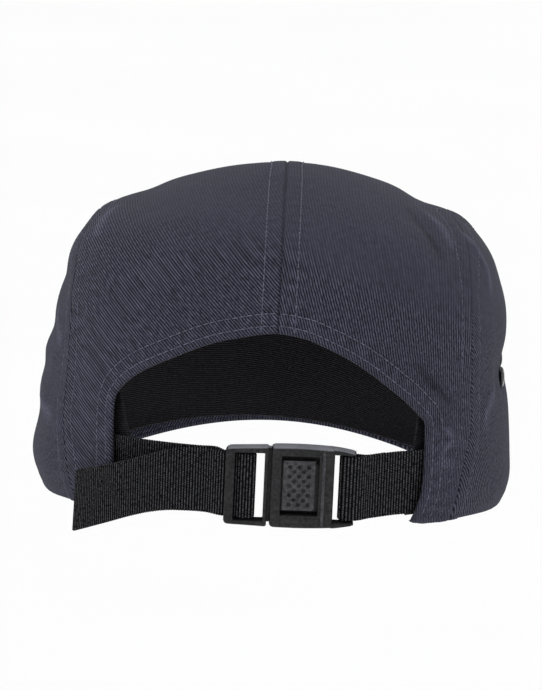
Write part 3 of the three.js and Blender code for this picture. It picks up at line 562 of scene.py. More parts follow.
def pressed(right, grain, fan=0.0):
    """Weave coordinates, mm: the first crosses the ribs, the second runs along them. `right` is
    the way to the right seen from the panel's side, and the ribs fall to the right at `grain`
    degrees. The fan turns them with the square of the distance across. Where the cloth bends
    over the top, the second coordinate goes on with the depth."""
    turn, right = math.radians(grain), np.array([*right, 0.0])
    inward = np.cross([0, 0, 1.0], right)

    def weave(points):
        across, up = points @ right, points[..., 2] - WEAVE_MIDDLE
        first = across * math.sin(turn) + up * (math.cos(turn) - fan * across**2)
        second = across * math.cos(turn) - up * math.sin(turn) + points @ inward
        return np.stack([first, second], -1)

    return weave


# %% [markdown]
# ## Panels
# A panel is one or two patches of map places between four edges, blended so that all four are
# kept. The cells are finer beside the edges, where the groove and the rolled hem need them.

# %% Patches of cloth
CLOTH, EYELET_HOLE = 1.25, 3.0


def marks(cells, fine=5):
    """Shares from 0 to 1 that are denser towards both ends."""
    even = np.linspace(0, 1, cells + 1)
    return even - 0.86 / (2 * np.pi) * np.sin(2 * np.pi * even) * min(1, fine / 5)


def patch(foot, top, start, end):
    """A blend of four edges: foot and top run across, start and end run up."""
    u, v = (np.linspace(0, 1, len(edge))[:, None] for edge in (foot, start))
    u, v = u[:, None], v[None]
    sides = foot[:, None] * (1 - v) + top[:, None] * v + start[None] * (1 - u) + end[None] * u
    low, high = foot[0] * (1 - u) + foot[-1] * u, top[0] * (1 - u) + top[-1] * u
    return sides - low * (1 - v) - high * v


def join_patches(patches):
    """One list of places from patches that share edges, and the cells that they make."""
    starts = np.cumsum([0] + [grid.shape[0] * grid.shape[1] for grid in patches])
    cells = np.concatenate([grid_cells(*grid.shape[:2]) + start
                            for grid, start in zip(patches, starts)])
    places = np.concatenate([grid.reshape(-1, 2) for grid in patches])
    first, number = np.unique(np.round(places, 7), axis=0, return_index=True,
                              return_inverse=True)[1:]
    return places[first], number.ravel()[cells]


def panel(name, node, patches, weave, material):
    """Builds one panel of cloth: its places, relief, thickness, weave and eyelet holes."""
    places, cells = join_patches(patches)
    base, away = skin(places), crown_normal(places)
    height, edge, wear_and_painted_light = relief(base)
    outer = base + away * height[:, None]
    centres = EYELET_SPOTS + crown_normal(EYELET_PLACES) * EYELET_SWELLS[:, None]
    apart = np.linalg.norm(base[cells].mean(1)[:, None] - centres, axis=-1).min(1)
    thick = CLOTH + 0.5 * fade(edge, 6.5, 8) - 1.1 * bell(edge, 0, 0.55)
    points, faces = closed_sheet(outer, outer - away * thick[:, None], cells[apart >= EYELET_HOLE])
    piece = make_piece(name, points, faces, node, "twill", weave(points), material)
    # the outer face carries the painted light and shade, the inner face none
    wear_and_painted_light = np.concatenate([wear_and_painted_light, 0 * wear_and_painted_light])
    piece.data.attributes.new("PaintedLightAndShade", "FLOAT", "POINT").data.foreach_set("value", wear_and_painted_light)


# %% [markdown]
# ## Twill
# Cotton twill shows fine diagonal ribs about a millimetre apart, each broken into short floats
# of yarn. The colour is a dark slate: the warp yarns are greyer and lighter than the grooves.
# Image textures would blur close up, so the ribs are waves worked out from the flat pattern's
# coordinates, in millimetres, with noise for the unevenness of yarn and dye.

# %% Node helpers
def srgb(r, g, b):
    """A screen colour from 0 to 255 as the linear colour that shaders take."""
    c = np.array([r, g, b]) / 255
    return (*np.where(c <= 0.04045, c / 12.92, ((c + 0.055) / 1.055) ** 2.4), 1.0)


class Nodes:
    """Short names for adding shader nodes and joining their sockets."""

    def __init__(self, name, roughness, metallic=0.0, sheen=0.0, coat=0.0, gloss=0.5):
        self.material = bpy.data.materials.new(name)
        self.material.use_nodes = True
        self.tree = self.material.node_tree
        self.shader = self.tree.nodes["Principled BSDF"]
        self.fill(self.shader, {
            "Roughness": roughness, "Metallic": metallic, "Sheen Weight": sheen,
            "Sheen Roughness": 0.5, "Coat Weight": coat, "Specular IOR Level": gloss,
        })

    def fill(self, node, inputs):
        """Joins each named or numbered input to a socket, or sets it to a constant."""
        for key, value in inputs.items():
            if isinstance(value, bpy.types.NodeSocket):
                self.tree.links.new(value, node.inputs[key])
            elif value is not None:
                node.inputs[key].default_value = value

    def add(self, kind, inputs=None, output=0, **settings):
        """A new node of that kind, set and joined, as one of its outputs."""
        node = self.tree.nodes.new("ShaderNode" + kind)
        for key, value in settings.items():
            setattr(node, key, value)
        self.fill(node, inputs or {})
        return node.outputs[output]

    def math(self, operation, *values, clamp=False):
        return self.add("Math", dict(enumerate(values)), operation=operation, use_clamp=clamp)

    def split(self, vector):
        return self.add("SeparateXYZ", {0: vector}, slice(0, 3))

    def noise(self, vector, scale, detail=2.0, roughness=0.5, stretch=(1, 1, 1)):
        place = self.add("Mapping", {"Vector": vector, "Scale": stretch})
        texture = {"Vector": place, "Scale": scale, "Detail": detail, "Roughness": roughness}
        return self.add("TexNoise", texture, "Fac")

    def mix(self, share, a, b):
        return self.add("Mix", {"Factor": share, "A": a, "B": b}, "Result", data_type="RGBA")

    def between(self, value, low, high, to_low=0.0, to_high=1.0):
        return self.add("MapRange", dict(enumerate((value, low, high, to_low, to_high))))

    def bump(self, height, distance, strength=1.0):
        return self.add("Bump", {"Height": height, "Distance": distance * MM, "Strength": strength})

    def wave(self, value, pitch, phase=0.0):
        """A sine of the value in mm, from 0 to 1."""
        turns = self.math("MULTIPLY_ADD", value, 2 * math.pi / pitch, phase)
        return self.math("MULTIPLY_ADD", self.math("SINE", turns), 0.5, 0.5)

    def finish(self, color, normal=None, roughness=None):
        self.fill(self.shader, {"Base Color": color, "Normal": normal, "Roughness": roughness})
        return self.material


# %% Twill materials
CLEAR_BELOW, CLEAR_ABOVE, RIGHT_LEAN = 0.098, 0.112, 0.4  # metres, metres, a slope


def twill(name, groove, rib, pitch=0.97, sheen=0.03, clearness=(0.84, 0.2)):
    """Ribs along the weave's second coordinate, broken into floats, with uneven dye. They are
    clear low down and fade over the crown, sooner at the right, where the nap stands up."""
    n = Nodes(name, 0.9, sheen=sheen, gloss=0.1)
    uv = n.add("TexCoord", output="UV")
    wobble = n.math("MULTIPLY_ADD", n.noise(uv, 0.05, 1), 0.8, n.math("MULTIPLY", n.noise(uv, 0.5), 0.6))
    ribs = n.wave(n.math("ADD", n.split(uv)[0], wobble), pitch)
    floats = n.noise(uv, 1.25, 2, 0.6, stretch=(1.0, 0.75, 1))
    height = n.math("MULTIPLY", ribs, n.between(floats, 0.32, 0.68, 0.4, 1.15))
    where = n.add("TexCoord", output="Object")
    x, _, z = n.split(where)
    reach = n.math("MULTIPLY_ADD", n.math("MAXIMUM", x, 0.0), RIGHT_LEAN, z)
    clear = n.between(reach, CLEAR_BELOW, CLEAR_ABOVE, *clearness)
    tone = n.math("MULTIPLY_ADD", n.math("SUBTRACT", height, 0.4), clear, 0.4)
    cloth_color = n.mix(n.between(tone, 0.12, 0.86), groove, rib)
    wide, fine = n.noise(where, 22, 3, 0.55), n.noise(where, 420, 2, 0.6)
    shade = n.math("MULTIPLY", n.between(wide, 0.3, 0.7, 0.92, 1.08),
                   n.between(fine, 0.25, 0.75, 0.84, 1.16))
    # painted highlight and painted shade: the cloth's colour is scaled by one plus the mesh attribute
    wear_and_painted_light = n.math("ADD", n.add("Attribute", output="Fac", attribute_name="PaintedLightAndShade"), 1.0)
    shade = n.math("MULTIPLY", shade, wear_and_painted_light)
    shaded = n.add("VectorMath", {0: cloth_color, "Scale": shade}, operation="SCALE")
    return n.finish(shaded, n.bump(n.math("MULTIPLY", height, clear), 0.2, 0.8))


SLATE = twill("slate twill", srgb(19, 19, 25), srgb(83, 84, 101))
BAND = twill("band twill", srgb(14, 14, 17), srgb(52, 50, 54), 0.8, 0.04, (1.0, 1.0))
print("twill materials ready")

# %% [markdown]
# ## The five panels
# The front panel stands over the visor, the side panels carry the eyelets, and the two back
# panels meet in the middle and run down beside the opening as legs. Left and right panels are
# cut with the grain turned a little differently, so the ribs lean at two angles.

# %% Front and side panels
visor_rim = rim(VISOR_BEARING, -VISOR_BEARING, marks(170))
front_patch = patch(visor_rim, curve(seam_knots(FRONT_TOP), 1 - marks(170)),
                    RIGHT.front_foot(marks(96)), LEFT.front_foot(marks(96)))
panel("front_panel_cloth", "front_panel", [front_patch], pressed((-1, 0), 62), SLATE)


def side_patch(side):
    """The side panel's edges blended as bearings and radii, so its rows follow the levels."""
    across, up = marks(92), marks(92)
    low = rim(side.seam_bearing, side.sign * VISOR_BEARING, across)
    shoulder = side.seam(RISE_PART + (1 - RISE_PART) * across)
    edges = low, shoulder, side.seam(RISE_PART * up), side.front_foot(up)
    grid = patch(*[np.stack([np.arctan2(*edge.T), np.hypot(*edge.T)], -1) for edge in edges])
    return grid[..., 1:] * np.stack([np.sin(grid[..., 0]), np.cos(grid[..., 0])], -1)


panel("side_panel_right_cloth", "side_panel_right", [side_patch(RIGHT)], pressed((0, 1), 60), SLATE)
panel("side_panel_left_cloth", "side_panel_left", [side_patch(LEFT)[::-1]], pressed((0, -1), 58), SLATE)


# %% Back panels
def back_patches(side):
    """The leg up to where the arch begins, then the rest above it and over the crown."""
    across, rise, leg, up = marks(64), marks(40), marks(26), marks(170)
    corner, seam_corner = side.arch(np.ones(1))[0], side.seam([LEG_PART])[0]
    leg_top = corner + (seam_corner - corner) * leg[:, None]
    lower = patch(side.leg_foot(leg), leg_top, side.leg_edge(rise), side.seam(LEG_PART * rise))
    foot = np.concatenate([side.arch(across), leg_top[1:]])
    share = np.concatenate([across * 0.78, 0.78 + leg[1:] * 0.22])
    upper = patch(foot, side.front_top(share), centre_seam(up), side.seam(LEG_PART + (1 - LEG_PART) * up))
    patches = [lower, upper]
    return patches if side.sign > 0 else [grid[::-1] for grid in patches]


panel("back_panel_right_cloth", "back_panel_right", back_patches(RIGHT),
      pressed((1, 0), 72, fan=6.2e-5), SLATE)
panel("back_panel_left_cloth", "back_panel_left", back_patches(LEFT), pressed((1, 0), 45), SLATE)

# %% [markdown]
# ## Stitches
# Topstitching is thread that lies on the cloth in short bars with a dip at each end. A painted
# line would look flat from the side, so each stitch is a small spindle of thread. One spindle
# is worked out once and laid along the rows as whole arrays.

# %% Thread and stitches
STITCH, STITCH_GAP, THREAD, SUNK_THREAD = 2.35, 0.45, 0.25, 0.17


def thread_material():
    n = Nodes("topstitch thread", 0.7, sheen=0.1, gloss=0.25)
    uneven = n.noise(n.add("TexCoord", output="Object"), 900)
    return n.finish(n.mix(n.between(uneven, 0.3, 0.7), srgb(56, 58, 72), srgb(98, 101, 118)),
                    n.bump(uneven, 0.05))


THREAD_GREY = thread_material()


def spindles(line, normals, radius=THREAD):
    """Spindles along a line: each round section shrinks to the ends, and the middle arches up."""
    way = way_along(line)
    starts = np.arange(0.6, way[-1] - STITCH - 0.4, STITCH + STITCH_GAP)
    t = np.linspace(0, 1, 6)
    at = starts[:, None] + STITCH * t
    middle, up = read(line, way, at), unit(read(normals, way, at))
    side = unit(np.cross(unit(np.gradient(middle, axis=1)), up))
    swell = np.sin(np.pi * (0.08 + 0.84 * t)) ** 0.5
    middle = middle + up * (0.16 * np.sin(np.pi * t) - 0.02)[None, :, None]
    angle = np.linspace(0, 2 * np.pi, 7)[:-1]
    around = side[:, :, None] * np.cos(angle)[:, None] + up[:, :, None] * np.sin(angle)[:, None]
    rings = middle[:, :, None] + radius * swell[None, :, None, None] * around
    return together([loft(single) for single in rings])


def walk(places, ways):
    """Moves places on the map by ways in space: the slopes say how far to step east and north."""
    for share in (0.5, 0.5):
        across, along = slopes(crown_point, places)
        aa, ab, bb = (across**2).sum(-1), (across * along).sum(-1), (along**2).sum(-1)
        wa, wb = (ways * across).sum(-1), (ways * along).sum(-1)
        det = aa * bb - ab**2
        step = np.stack([(wa * bb - wb * ab) / det, (wb * aa - wa * ab) / det], -1)
        places = places + share * step
    return places


def beside(places, offset):
    """A row of places beside a seam, `offset` mm to its right as it runs."""
    line = crown_point(places)
    ahead = unit(np.gradient(line, axis=0))
    right = unit(np.cross(ahead, crown_normal(places)))
    return walk(places, right * offset)


def stitch_row(places, start=0.0, end=1.0, radius=THREAD):
    """A row of stitches on the finished cloth, along a part of a list of places."""
    shares = np.linspace(start, end, 420)
    fine = curve(places[:: max(1, len(places) // 60)], shares)
    return spindles(cloth(fine), crown_normal(fine), radius)


# %% Rows on the crown
def both_sides(seam, start, end, radius=THREAD):
    """A row on each side of a seam."""
    return [stitch_row(beside(SEAM_CURVES[seam], side * SEAM_ROW), start, end, radius)
            for side in (-1, 1)]


ROWS_ON_CROWN = {
    "stitches_back": both_sides("centre", 0.0, 0.985) + both_sides("side_right", 0.01, 0.99, SUNK_THREAD)
    + both_sides("side_left", 0.01, 0.99, SUNK_THREAD),
    "stitches_front": both_sides("front_top", 0.02, 0.98) + both_sides("front_right", 0.03, 0.97)
    + both_sides("front_left", 0.03, 0.97),
    "stitches_arch": [stitch_row(beside(places, sign * -offset), 0.0, 0.985)
                      for sign, places in HEM_CURVES.items() for offset in HEM_ROWS],
}
for name, rows in ROWS_ON_CROWN.items():
    make_piece(name, *together(rows), slot="twill", material=THREAD_GREY)

# %% [markdown]
# ## Seam tapes and the sweatband
# Inside a cap without a lining, bias tape covers each seam, and a folded band of twill runs
# round the rim and ends just past the legs. Both are strips that stand in from the cloth.

# %% Tapes inside the crown
TAPE_HALF, TAPE_THICK = 6.0, 0.45


def tape(places, start, end, depth=2.0):
    """A strip either side of a seam: seven places across, two faces, a soft ridge in the middle."""
    path = curve(places[::4], np.linspace(start, end, 150))
    offsets = TAPE_HALF * np.array([-1, -0.8, -0.4, 0, 0.4, 0.8, 1])
    strip = np.stack([beside(path, offset) for offset in offsets], 1)
    low = depth + 0.45 * bell(offsets, 0, 2.2) - 0.1 * bell(np.abs(offsets), TAPE_HALF, 1)
    depths = np.broadcast_to(low, strip.shape[:2])
    near, far = skin(strip, depths), skin(strip, depths + TAPE_THICK)
    return closed_sheet(near.reshape(-1, 3), far.reshape(-1, 3), grid_cells(*strip.shape[:2]))


TAPES = {
    "centre": (0.03, 1), "side_right": (0.34, 1), "side_left": (0.34, 1), "front_top": (0.02, 0.98),
    "front_right": (0.52, 0.97), "front_left": (0.52, 0.97),
}
points, faces = together([tape(SEAM_CURVES[seam], *part) for seam, part in TAPES.items()])
make_piece("seam_tapes", points, faces, slot="band_twill", uv=points[:, [0, 2]], material=BAND)

# %% Sweatband
BAND_HEIGHT, BAND_THICK, BAND_STANDOFF, BAND_HEM = 44.0, 1.2, 1.0, 0.8
BAND_TUCK_ROOM, BAND_TUCK_SPREAD, WALL = 1.5, 14.0, 1.6
STRAP_TUCK, STRAP_ROOM, STRAP_THICK, LAYER_GAP = 12.0, 0.55, 1.5, 0.3
BAND_ENDS = {1: (0.638, 0.36, 0.59), -1: (-0.685, 0.36, -0.535)}


def band_end(sign, height):
    """The bearing where the band stops: a slanting end between a top and a foot share."""
    top, top_height, foot = BAND_ENDS[sign]
    place = place_behind((foot + (top - foot) * height / top_height) * HALF_WIDTH, height)
    return np.degrees(np.arctan2(place[..., 0], place[..., 1]))


def band_places(u, v):
    """Places on the band: u runs round from left to right, v up from the rim."""
    start = rim_height(LEFT.seam_bearing + (RIGHT.seam_bearing - LEFT.seam_bearing) * u)
    height = start + (BAND_HEM + BAND_HEIGHT * v) / CROWN_HEIGHT
    left, right = band_end(-1, height), band_end(1, height)
    return place_at(left + (right - left) * u, height)


def band_depth(places):
    """How far in the band stands: further beside the tucked ends of the strap."""
    points = crown_point(places)
    edge = np.where(points[..., 0] > 0, ARCH_RIGHT[-1, 0], ARCH_LEFT[-1, 0]) * HALF_WIDTH
    past = np.abs(points[..., 0]) - np.abs(edge) - STRAP_TUCK
    tucked = np.where(points[..., 1] < 0, fade(past, 0, BAND_TUCK_SPREAD), 0)
    beside_strap = STRAP_ROOM + STRAP_THICK + LAYER_GAP + BAND_TUCK_ROOM
    return WALL + BAND_STANDOFF + (beside_strap - BAND_STANDOFF) * tucked


u, v = np.meshgrid(marks(300), marks(34), indexing="ij")
band = band_places(u, v)
depth = band_depth(band)
edge = np.minimum(v, 1 - v) * BAND_HEIGHT
rolled = roll(edge, 0.55)
hem = 0.25 * bell((1 - v) * BAND_HEIGHT, 5, 0.6)
near, far = skin(band, depth + rolled), skin(band, depth + BAND_THICK - rolled - hem)
points, faces = closed_sheet(far.reshape(-1, 3), near.reshape(-1, 3), grid_cells(*u.shape))
round_way = np.cumsum(np.linalg.norm(np.diff(far, axis=0, prepend=far[:1]), axis=-1), axis=0)
weave = np.stack([(v * BAND_HEIGHT + 0.12 * round_way).ravel(), round_way.ravel()], -1)
weave = np.concatenate([weave, weave])
make_piece("sweatband_cloth", points, faces, "sweatband", "band_twill", weave, BAND)

places = band_places(np.linspace(0.004, 0.996, 500), np.full(500, 1 - 5 / BAND_HEIGHT))
line = skin(places, band_depth(places) + BAND_THICK - 0.25)
make_piece("stitches_band", *spindles(line, -crown_normal(places)), slot="band_twill",
           material=THREAD_GREY)

# %% [markdown]
# ## The visor
# The visor is a stiff core covered in twill, arched across and pitched down, with rows of
# stitching that follow its outer edge. Its section is a loop: over the top, round the edge and
# back underneath. Sweeping that loop from one corner to the other gives the whole piece.

# %% Visor
VISOR_REACH, VISOR_FLARE, VISOR_THICK, VISOR_ARCH, VISOR_PITCH = 70.0, 7.2, 3.0, 9.0, 7.0
VISOR_TUCK, VISOR_SEWN, VISOR_SQUARE = 2.0, 0.6, 2.25
VISOR_ROWS = (4.0, 10.5, 17.0, 23.5, 30.0, 36.5)


def visor_edges(u):
    """The root along the front panel's rim and the outer edge, a rounded square bow."""
    rim_end = skin(place_at(VISOR_BEARING, 0.0))
    half, end_y, tip_y = rim_end[0] + VISOR_FLARE, rim_end[1] + VISOR_TUCK, FRONT_REACH + VISOR_REACH
    places = place_at(u * VISOR_BEARING, rim_height(u * VISOR_BEARING))
    ahead = crown_normal(places) * [1, 1, 0]
    root = skin(places) - unit(ahead) * VISOR_SEWN
    s, c = np.sin(u * np.pi / 2), np.cos(u * np.pi / 2)
    x = half * np.sign(s) * np.abs(s) ** (2 / VISOR_SQUARE)
    on = np.sign(c) * np.abs(c) ** (2 / VISOR_SQUARE)
    y = end_y + (tip_y - end_y) * on
    return root, np.stack([x, y, VISOR_ARCH * (1 - (x / half) ** 2) - VISOR_PITCH * on], -1)


def visor_section(u, v, above):
    """A point on the visor: a share v of the way out, on the upper or lower face."""
    root, rim_line = visor_edges(u)
    middle = root[:, None] + (rim_line - root)[:, None] * v[None, :, None]
    length = np.linalg.norm(rim_line - root, axis=-1)[:, None]
    out = (1 - v[None]) * length
    furrows = sum(0.22 * bell(out, row, 0.7) for row in VISOR_ROWS)
    half = VISOR_THICK / 2 - np.minimum(roll(out, 1.5), 1.35) - furrows
    half = half + 0.08 * np.sin(u * 31)[:, None] * np.sin(out / 5.5) * fade(out, 40, 60)
    middle[..., 2] += above * half
    return middle


columns = np.sin(np.linspace(-1, 1, 171) * np.pi / 2 * 0.97) / math.sin(np.pi / 2 * 0.97)
shares = 1 - np.concatenate([np.linspace(1, 0.06, 64), np.array([0.045, 0.03, 0.02, 0.012, 0.006, 0.0])])
upper = visor_section(columns, shares, 1)
lower = visor_section(columns, shares, -1)[:, ::-1]
loops = np.concatenate([upper, lower], 1)
points, faces = loft(loops)
turn = math.radians(64)
s, c = math.sin(turn), math.cos(turn)
weave = points[:, :2] @ np.array([[s, c], [c, -s]])
make_piece("visor_cloth", points, faces, "visor", "twill", weave, SLATE)

# %% Rows on the visor
rows, u = [], np.linspace(-0.96, 0.96, 700)
root, rim_line = visor_edges(u)
length = np.linalg.norm(rim_line - root, axis=-1)
up = np.array([0.0, 0, 1])
for row in VISOR_ROWS:
    middle = (rim_line + (root - rim_line) * (row / length)[:, None])[length > row + 2.5]
    for face in (up, -up):
        line = middle + (VISOR_THICK / 2 - 0.2) * face
        rows.append(spindles(line, np.broadcast_to(face, middle.shape)))
make_piece("stitches_visor", *together(rows), slot="twill", material=THREAD_GREY)

# %% [markdown]
# ## Webbing
# The strap is ribbed webbing: thick weft cords cross it about a millimetre apart. It is a
# rounded band carried along a path, and its thickness swells with each rib. The left strap
# comes from under the leg, passes behind the buckle's left bar, turns round the middle bar and
# comes back over itself as a loose tail. The right strap loops round its bar from the front.

# %% The buckle's own frame
STRAP_WIDTH, STRAP_HEIGHT, MAIN_RISE, MAIN_END = 25.4, 17.5, 0.6, 4.0
BUCKLE_CENTRE, BUCKLE_DEPTH = 6.5, 0.6
buckle_place = place_behind(BUCKLE_CENTRE, STRAP_HEIGHT / CROWN_HEIGHT)
buckle_out = crown_normal(buckle_place)
buckle_along = unit(np.array([-buckle_out[1], buckle_out[0], 0]))
buckle_up = np.cross(buckle_out, buckle_along)
buckle_origin = skin(buckle_place, BUCKLE_DEPTH) - buckle_along * BUCKLE_CENTRE


def in_buckle(points):
    """From the buckle's frame, x along the strap, y up and z outward, to the cap's."""
    return buckle_origin + points @ np.stack([buckle_along, buckle_up, buckle_out])


STRAND = STRAP_THICK + LAYER_GAP
BAR_LEFT = (-17.4, -14.0)
BAR_MIDDLE = (BAR_LEFT[1] + 2 * STRAND, BAR_LEFT[1] + 2 * STRAND + 2.2)
BAR_RIGHT = (BAR_MIDDLE[1] + STRAND + LAYER_GAP + 3.2, BAR_MIDDLE[1] + STRAND + LAYER_GAP + 4.6)
BODY_LEFT = BAR_RIGHT[1] + 1.0
BODY_RIGHT = BODY_LEFT + 23.3
LOOP_BAR = (BODY_RIGHT + STRAND + LAYER_GAP + 2.2, BODY_RIGHT + STRAND + LAYER_GAP + 4.4)
ARM_END = LOOP_BAR[1] + 1.3
MIDDLE_THICK, MIDDLE_SIDE, LOOP_THICK, LOOP_SIDE = 1.0, -0.1, 1.4, -1.0
BEND_MIDDLE = MIDDLE_THICK / 2 + LAYER_GAP + STRAP_THICK / 2
LOOP_MIDDLE = LOOP_THICK / 2 + LAYER_GAP + STRAP_THICK / 2
TAIL_OUT = MIDDLE_SIDE + BEND_MIDDLE - STRAP_THICK
print("buckle runs from", BAR_LEFT[0], "to", round(ARM_END, 2), "mm")


# %% Stations of the straps
def crown_station(x, out, drop=0.0, tip=0.0):
    """The band's middle and its way across, standing `out` mm off the cloth's face."""
    upper, lower = (skin(place_behind(x, (STRAP_HEIGHT + side * STRAP_WIDTH / 2) / CROWN_HEIGHT), -out)
                    for side in (1, -1))
    across, turn = unit(upper - lower), np.radians(tip)
    y = across[..., 1] * np.cos(turn) - across[..., 2] * np.sin(turn)
    z = across[..., 1] * np.sin(turn) + across[..., 2] * np.cos(turn)
    middle = (upper + lower) / 2 - np.stack([0 * drop, 0 * drop, 1.0 * drop], -1)
    return np.concatenate([middle, np.stack([across[..., 0], y, z], -1)], -1)


def buckle_station(x, out):
    """The band's middle and way across inside the buckle."""
    x, out = np.broadcast_arrays(np.asarray(x, float), np.asarray(out, float))
    middle = in_buckle(np.stack([x, 0 * x, out], -1))
    return np.concatenate([middle, np.broadcast_to(buckle_up, middle.shape)], -1)


def round_bar(x, out, radius, start, end):
    angle = np.radians(np.linspace(start, end, 9))
    return buckle_station(x + radius * np.cos(angle), out + radius * np.sin(angle))


UNDER_LEG = -(WALL + STRAP_ROOM + STRAP_THICK / 2)
LEG_LEFT, LEG_RIGHT = ARCH_LEFT[-1, 0] * HALF_WIDTH, ARCH_RIGHT[-1, 0] * HALF_WIDTH
TAIL_END, TAIL_DROP, TAIL_TIP, TAIL_LIFT = -71.0, 13.3, 12.0, 1.7
# share of the way to the tail's end, then shares of its drop, tip and lift
TAIL = np.array([
    [0.12, -0.05, 0.0, -0.75], [0.26, -0.06, 0.1, -0.3], [0.38, -0.02, 0.4, 0.2], [0.5, 0.11, 0.8, 0.65],
    [0.62, 0.3, 1.0, 0.95], [0.74, 0.51, 0.9, 1.1], [0.87, 0.745, 0.65, 1.1], [1.0, 1.0, 0.3, 1.1],
])
main_x = LEG_LEFT - STRAP_TUCK + (BAR_LEFT[0] - MAIN_END - LEG_LEFT + STRAP_TUCK) * np.linspace(0, 1, 9)
left_stations = np.concatenate([
    crown_station(main_x, UNDER_LEG + 0 * main_x, -MAIN_RISE + 0 * main_x),
    buckle_station(BAR_LEFT, TAIL_OUT - STRAND),
    round_bar(BAR_MIDDLE[1], MIDDLE_SIDE, BEND_MIDDLE, -90, 90),
    buckle_station([BAR_MIDDLE[0]], MIDDLE_SIDE + BEND_MIDDLE),
    buckle_station(BAR_LEFT[::-1], TAIL_OUT),
    crown_station(BAR_LEFT[0] + (TAIL_END - BAR_LEFT[0]) * TAIL[:, 0],
                  LAYER_GAP + STRAP_THICK / 2 + TAIL_LIFT * TAIL[:, 3],
                  TAIL_DROP * TAIL[:, 1], TAIL_TIP * TAIL[:, 2]),
])

RUN_START = ARM_END + 0.5
right_x = RUN_START + (LEG_RIGHT + STRAP_TUCK - RUN_START) * np.array([1, 0.82, 0.64, 0.46, 0.3, 0.15])
loop_x, LOOP_DROP = np.array([36.0, 40.0, 44.0]), 0.6


def out_on_run(x):
    """The right strap's stand-off: level with its bar, then under the leg."""
    start = LOOP_SIDE + LOOP_MIDDLE - BUCKLE_DEPTH
    return start + (UNDER_LEG - start) * (1 - fade(x, RUN_START, LEG_RIGHT - 6))


right_stations = np.concatenate([
    crown_station(right_x, out_on_run(right_x), 0 * right_x),
    buckle_station([LOOP_BAR[1] + 0.6], LOOP_SIDE + LOOP_MIDDLE),
    round_bar(LOOP_BAR[0], LOOP_SIDE, LOOP_MIDDLE, 90, 270),
    buckle_station([LOOP_BAR[1] + 0.6], LOOP_SIDE - LOOP_MIDDLE),
    crown_station(loop_x, out_on_run(loop_x) - STRAND, LOOP_DROP + 0 * loop_x),
])

# %% Webbing surface
RIB_HEIGHT = 0.12


def smooth_way(stations, step):
    """Cubics between stations, whose slopes are measured over the true distances, so uneven
    spacing makes no loops."""
    way = way_along(stations[:, :3])
    ramps = np.gradient(stations, way, axis=0)
    at = np.linspace(0, way[-1], int(way[-1] / step))
    i = np.clip(np.searchsorted(way, at) - 1, 0, len(way) - 2)
    gap = (way[i + 1] - way[i])[:, None]
    f = ((at - way[i]) / gap[:, 0])[:, None]
    path = cubic(stations[i], stations[i + 1], ramps[i] * gap, ramps[i + 1] * gap, f)
    return at, path[:, :3], unit(path[:, 3:])


def section_loop(half_width, half_thick, flats=9, turns=5):
    """A flat oval: two faces with points spread along them, joined by half circles."""
    t = np.linspace(-1, 1, flats)
    arc = np.linspace(np.pi / 2, -np.pi / 2, turns)[1:-1]
    side = half_width - half_thick
    face = np.stack([t * side, np.full(flats, half_thick)], -1)
    end = np.stack([side + half_thick * np.cos(arc), half_thick * np.sin(arc)], -1)
    return np.concatenate([face, end, -face, -end])


def webbing(stations, name, node, pitch, material, skew=0.0):
    """The flat oval carried along the path, thicker on each rib and rounded off at its ends. A
    skew cuts the far end aslant."""
    at, middle, across = smooth_way(stations, pitch / 4)
    ahead = unit(np.gradient(middle, axis=0))
    out = unit(np.cross(ahead, across))
    loop = section_loop(STRAP_WIDTH / 2 - 0.1, STRAP_THICK / 2 - RIB_HEIGHT)
    edge = np.minimum(at, at[-1] - at)
    shrink = np.sqrt(np.clip(1 - (1 - np.clip(edge / 0.7, 0, 1)) ** 2, 0.04, 1))
    rib = RIB_HEIGHT * np.cos(2 * np.pi * at / pitch) * np.minimum(edge / 1.5, 1)
    side = np.sign(loop[None, :, 0]) * (np.abs(loop[None, :, 0]) > 12)
    wide = loop[None, :, 0] + (0.6 * rib - roll(edge, 1.3))[:, None] * side
    thick = loop[None, :, 1] * shrink[:, None] + rib[:, None] * np.sign(loop[None, :, 1])
    slant = skew * fade(at[-1] - at, 0, 12)[:, None] * loop[None, :, 0] / (STRAP_WIDTH / 2)
    rings = middle[:, None] + across[:, None] * wide[..., None] + out[:, None] * thick[..., None]
    rings = rings + ahead[:, None] * slant[..., None]
    points, faces = loft(rings)
    flat = np.stack(np.broadcast_arrays(at[:, None] / pitch, loop[None, :, 0]), -1).reshape(-1, 2)
    flat = np.concatenate([flat, [[0, 0], [at[-1] / pitch, 0]]])
    return make_piece(name, points, faces, node, "webbing", flat, material)


def webbing_material():
    """Near-black cords, one to each unit of the way along: crests are painted paler as a highlight,
    grooves stay black as painted shade, and the warp yarns that cross them break each crest into beads."""
    n = Nodes("ribbed webbing", 0.8, sheen=0.0, gloss=0.05)
    uv = n.add("TexCoord", output="UV")
    along, across, _ = n.split(uv)
    crest = n.wave(along, 1.0, math.pi / 2)
    row = n.math("FLOOR", n.math("ADD", along, 0.5))
    beads = n.wave(n.math("MULTIPLY_ADD", row, 0.45, across), 0.95)
    uneven = n.noise(uv, 1.1, 4, 0.7, stretch=(1.0, 0.8, 1))
    height = n.math("ADD", n.math("MULTIPLY", crest, 0.6), n.math("MULTIPLY", beads, 0.4))
    # painted highlight on the crests, broken by the beads; the grooves get the near-black as shade
    tone = n.math("MULTIPLY", n.math("POWER", crest, 2.6), n.between(uneven, 0.36, 0.68, 0.0, 1.9))
    tone = n.math("MULTIPLY", tone, n.between(beads, 0, 1, 0.45, 1.15), clamp=True)
    return n.finish(n.mix(tone, srgb(1, 1, 2), srgb(84, 84, 87)), n.bump(height, 0.18, 0.8))


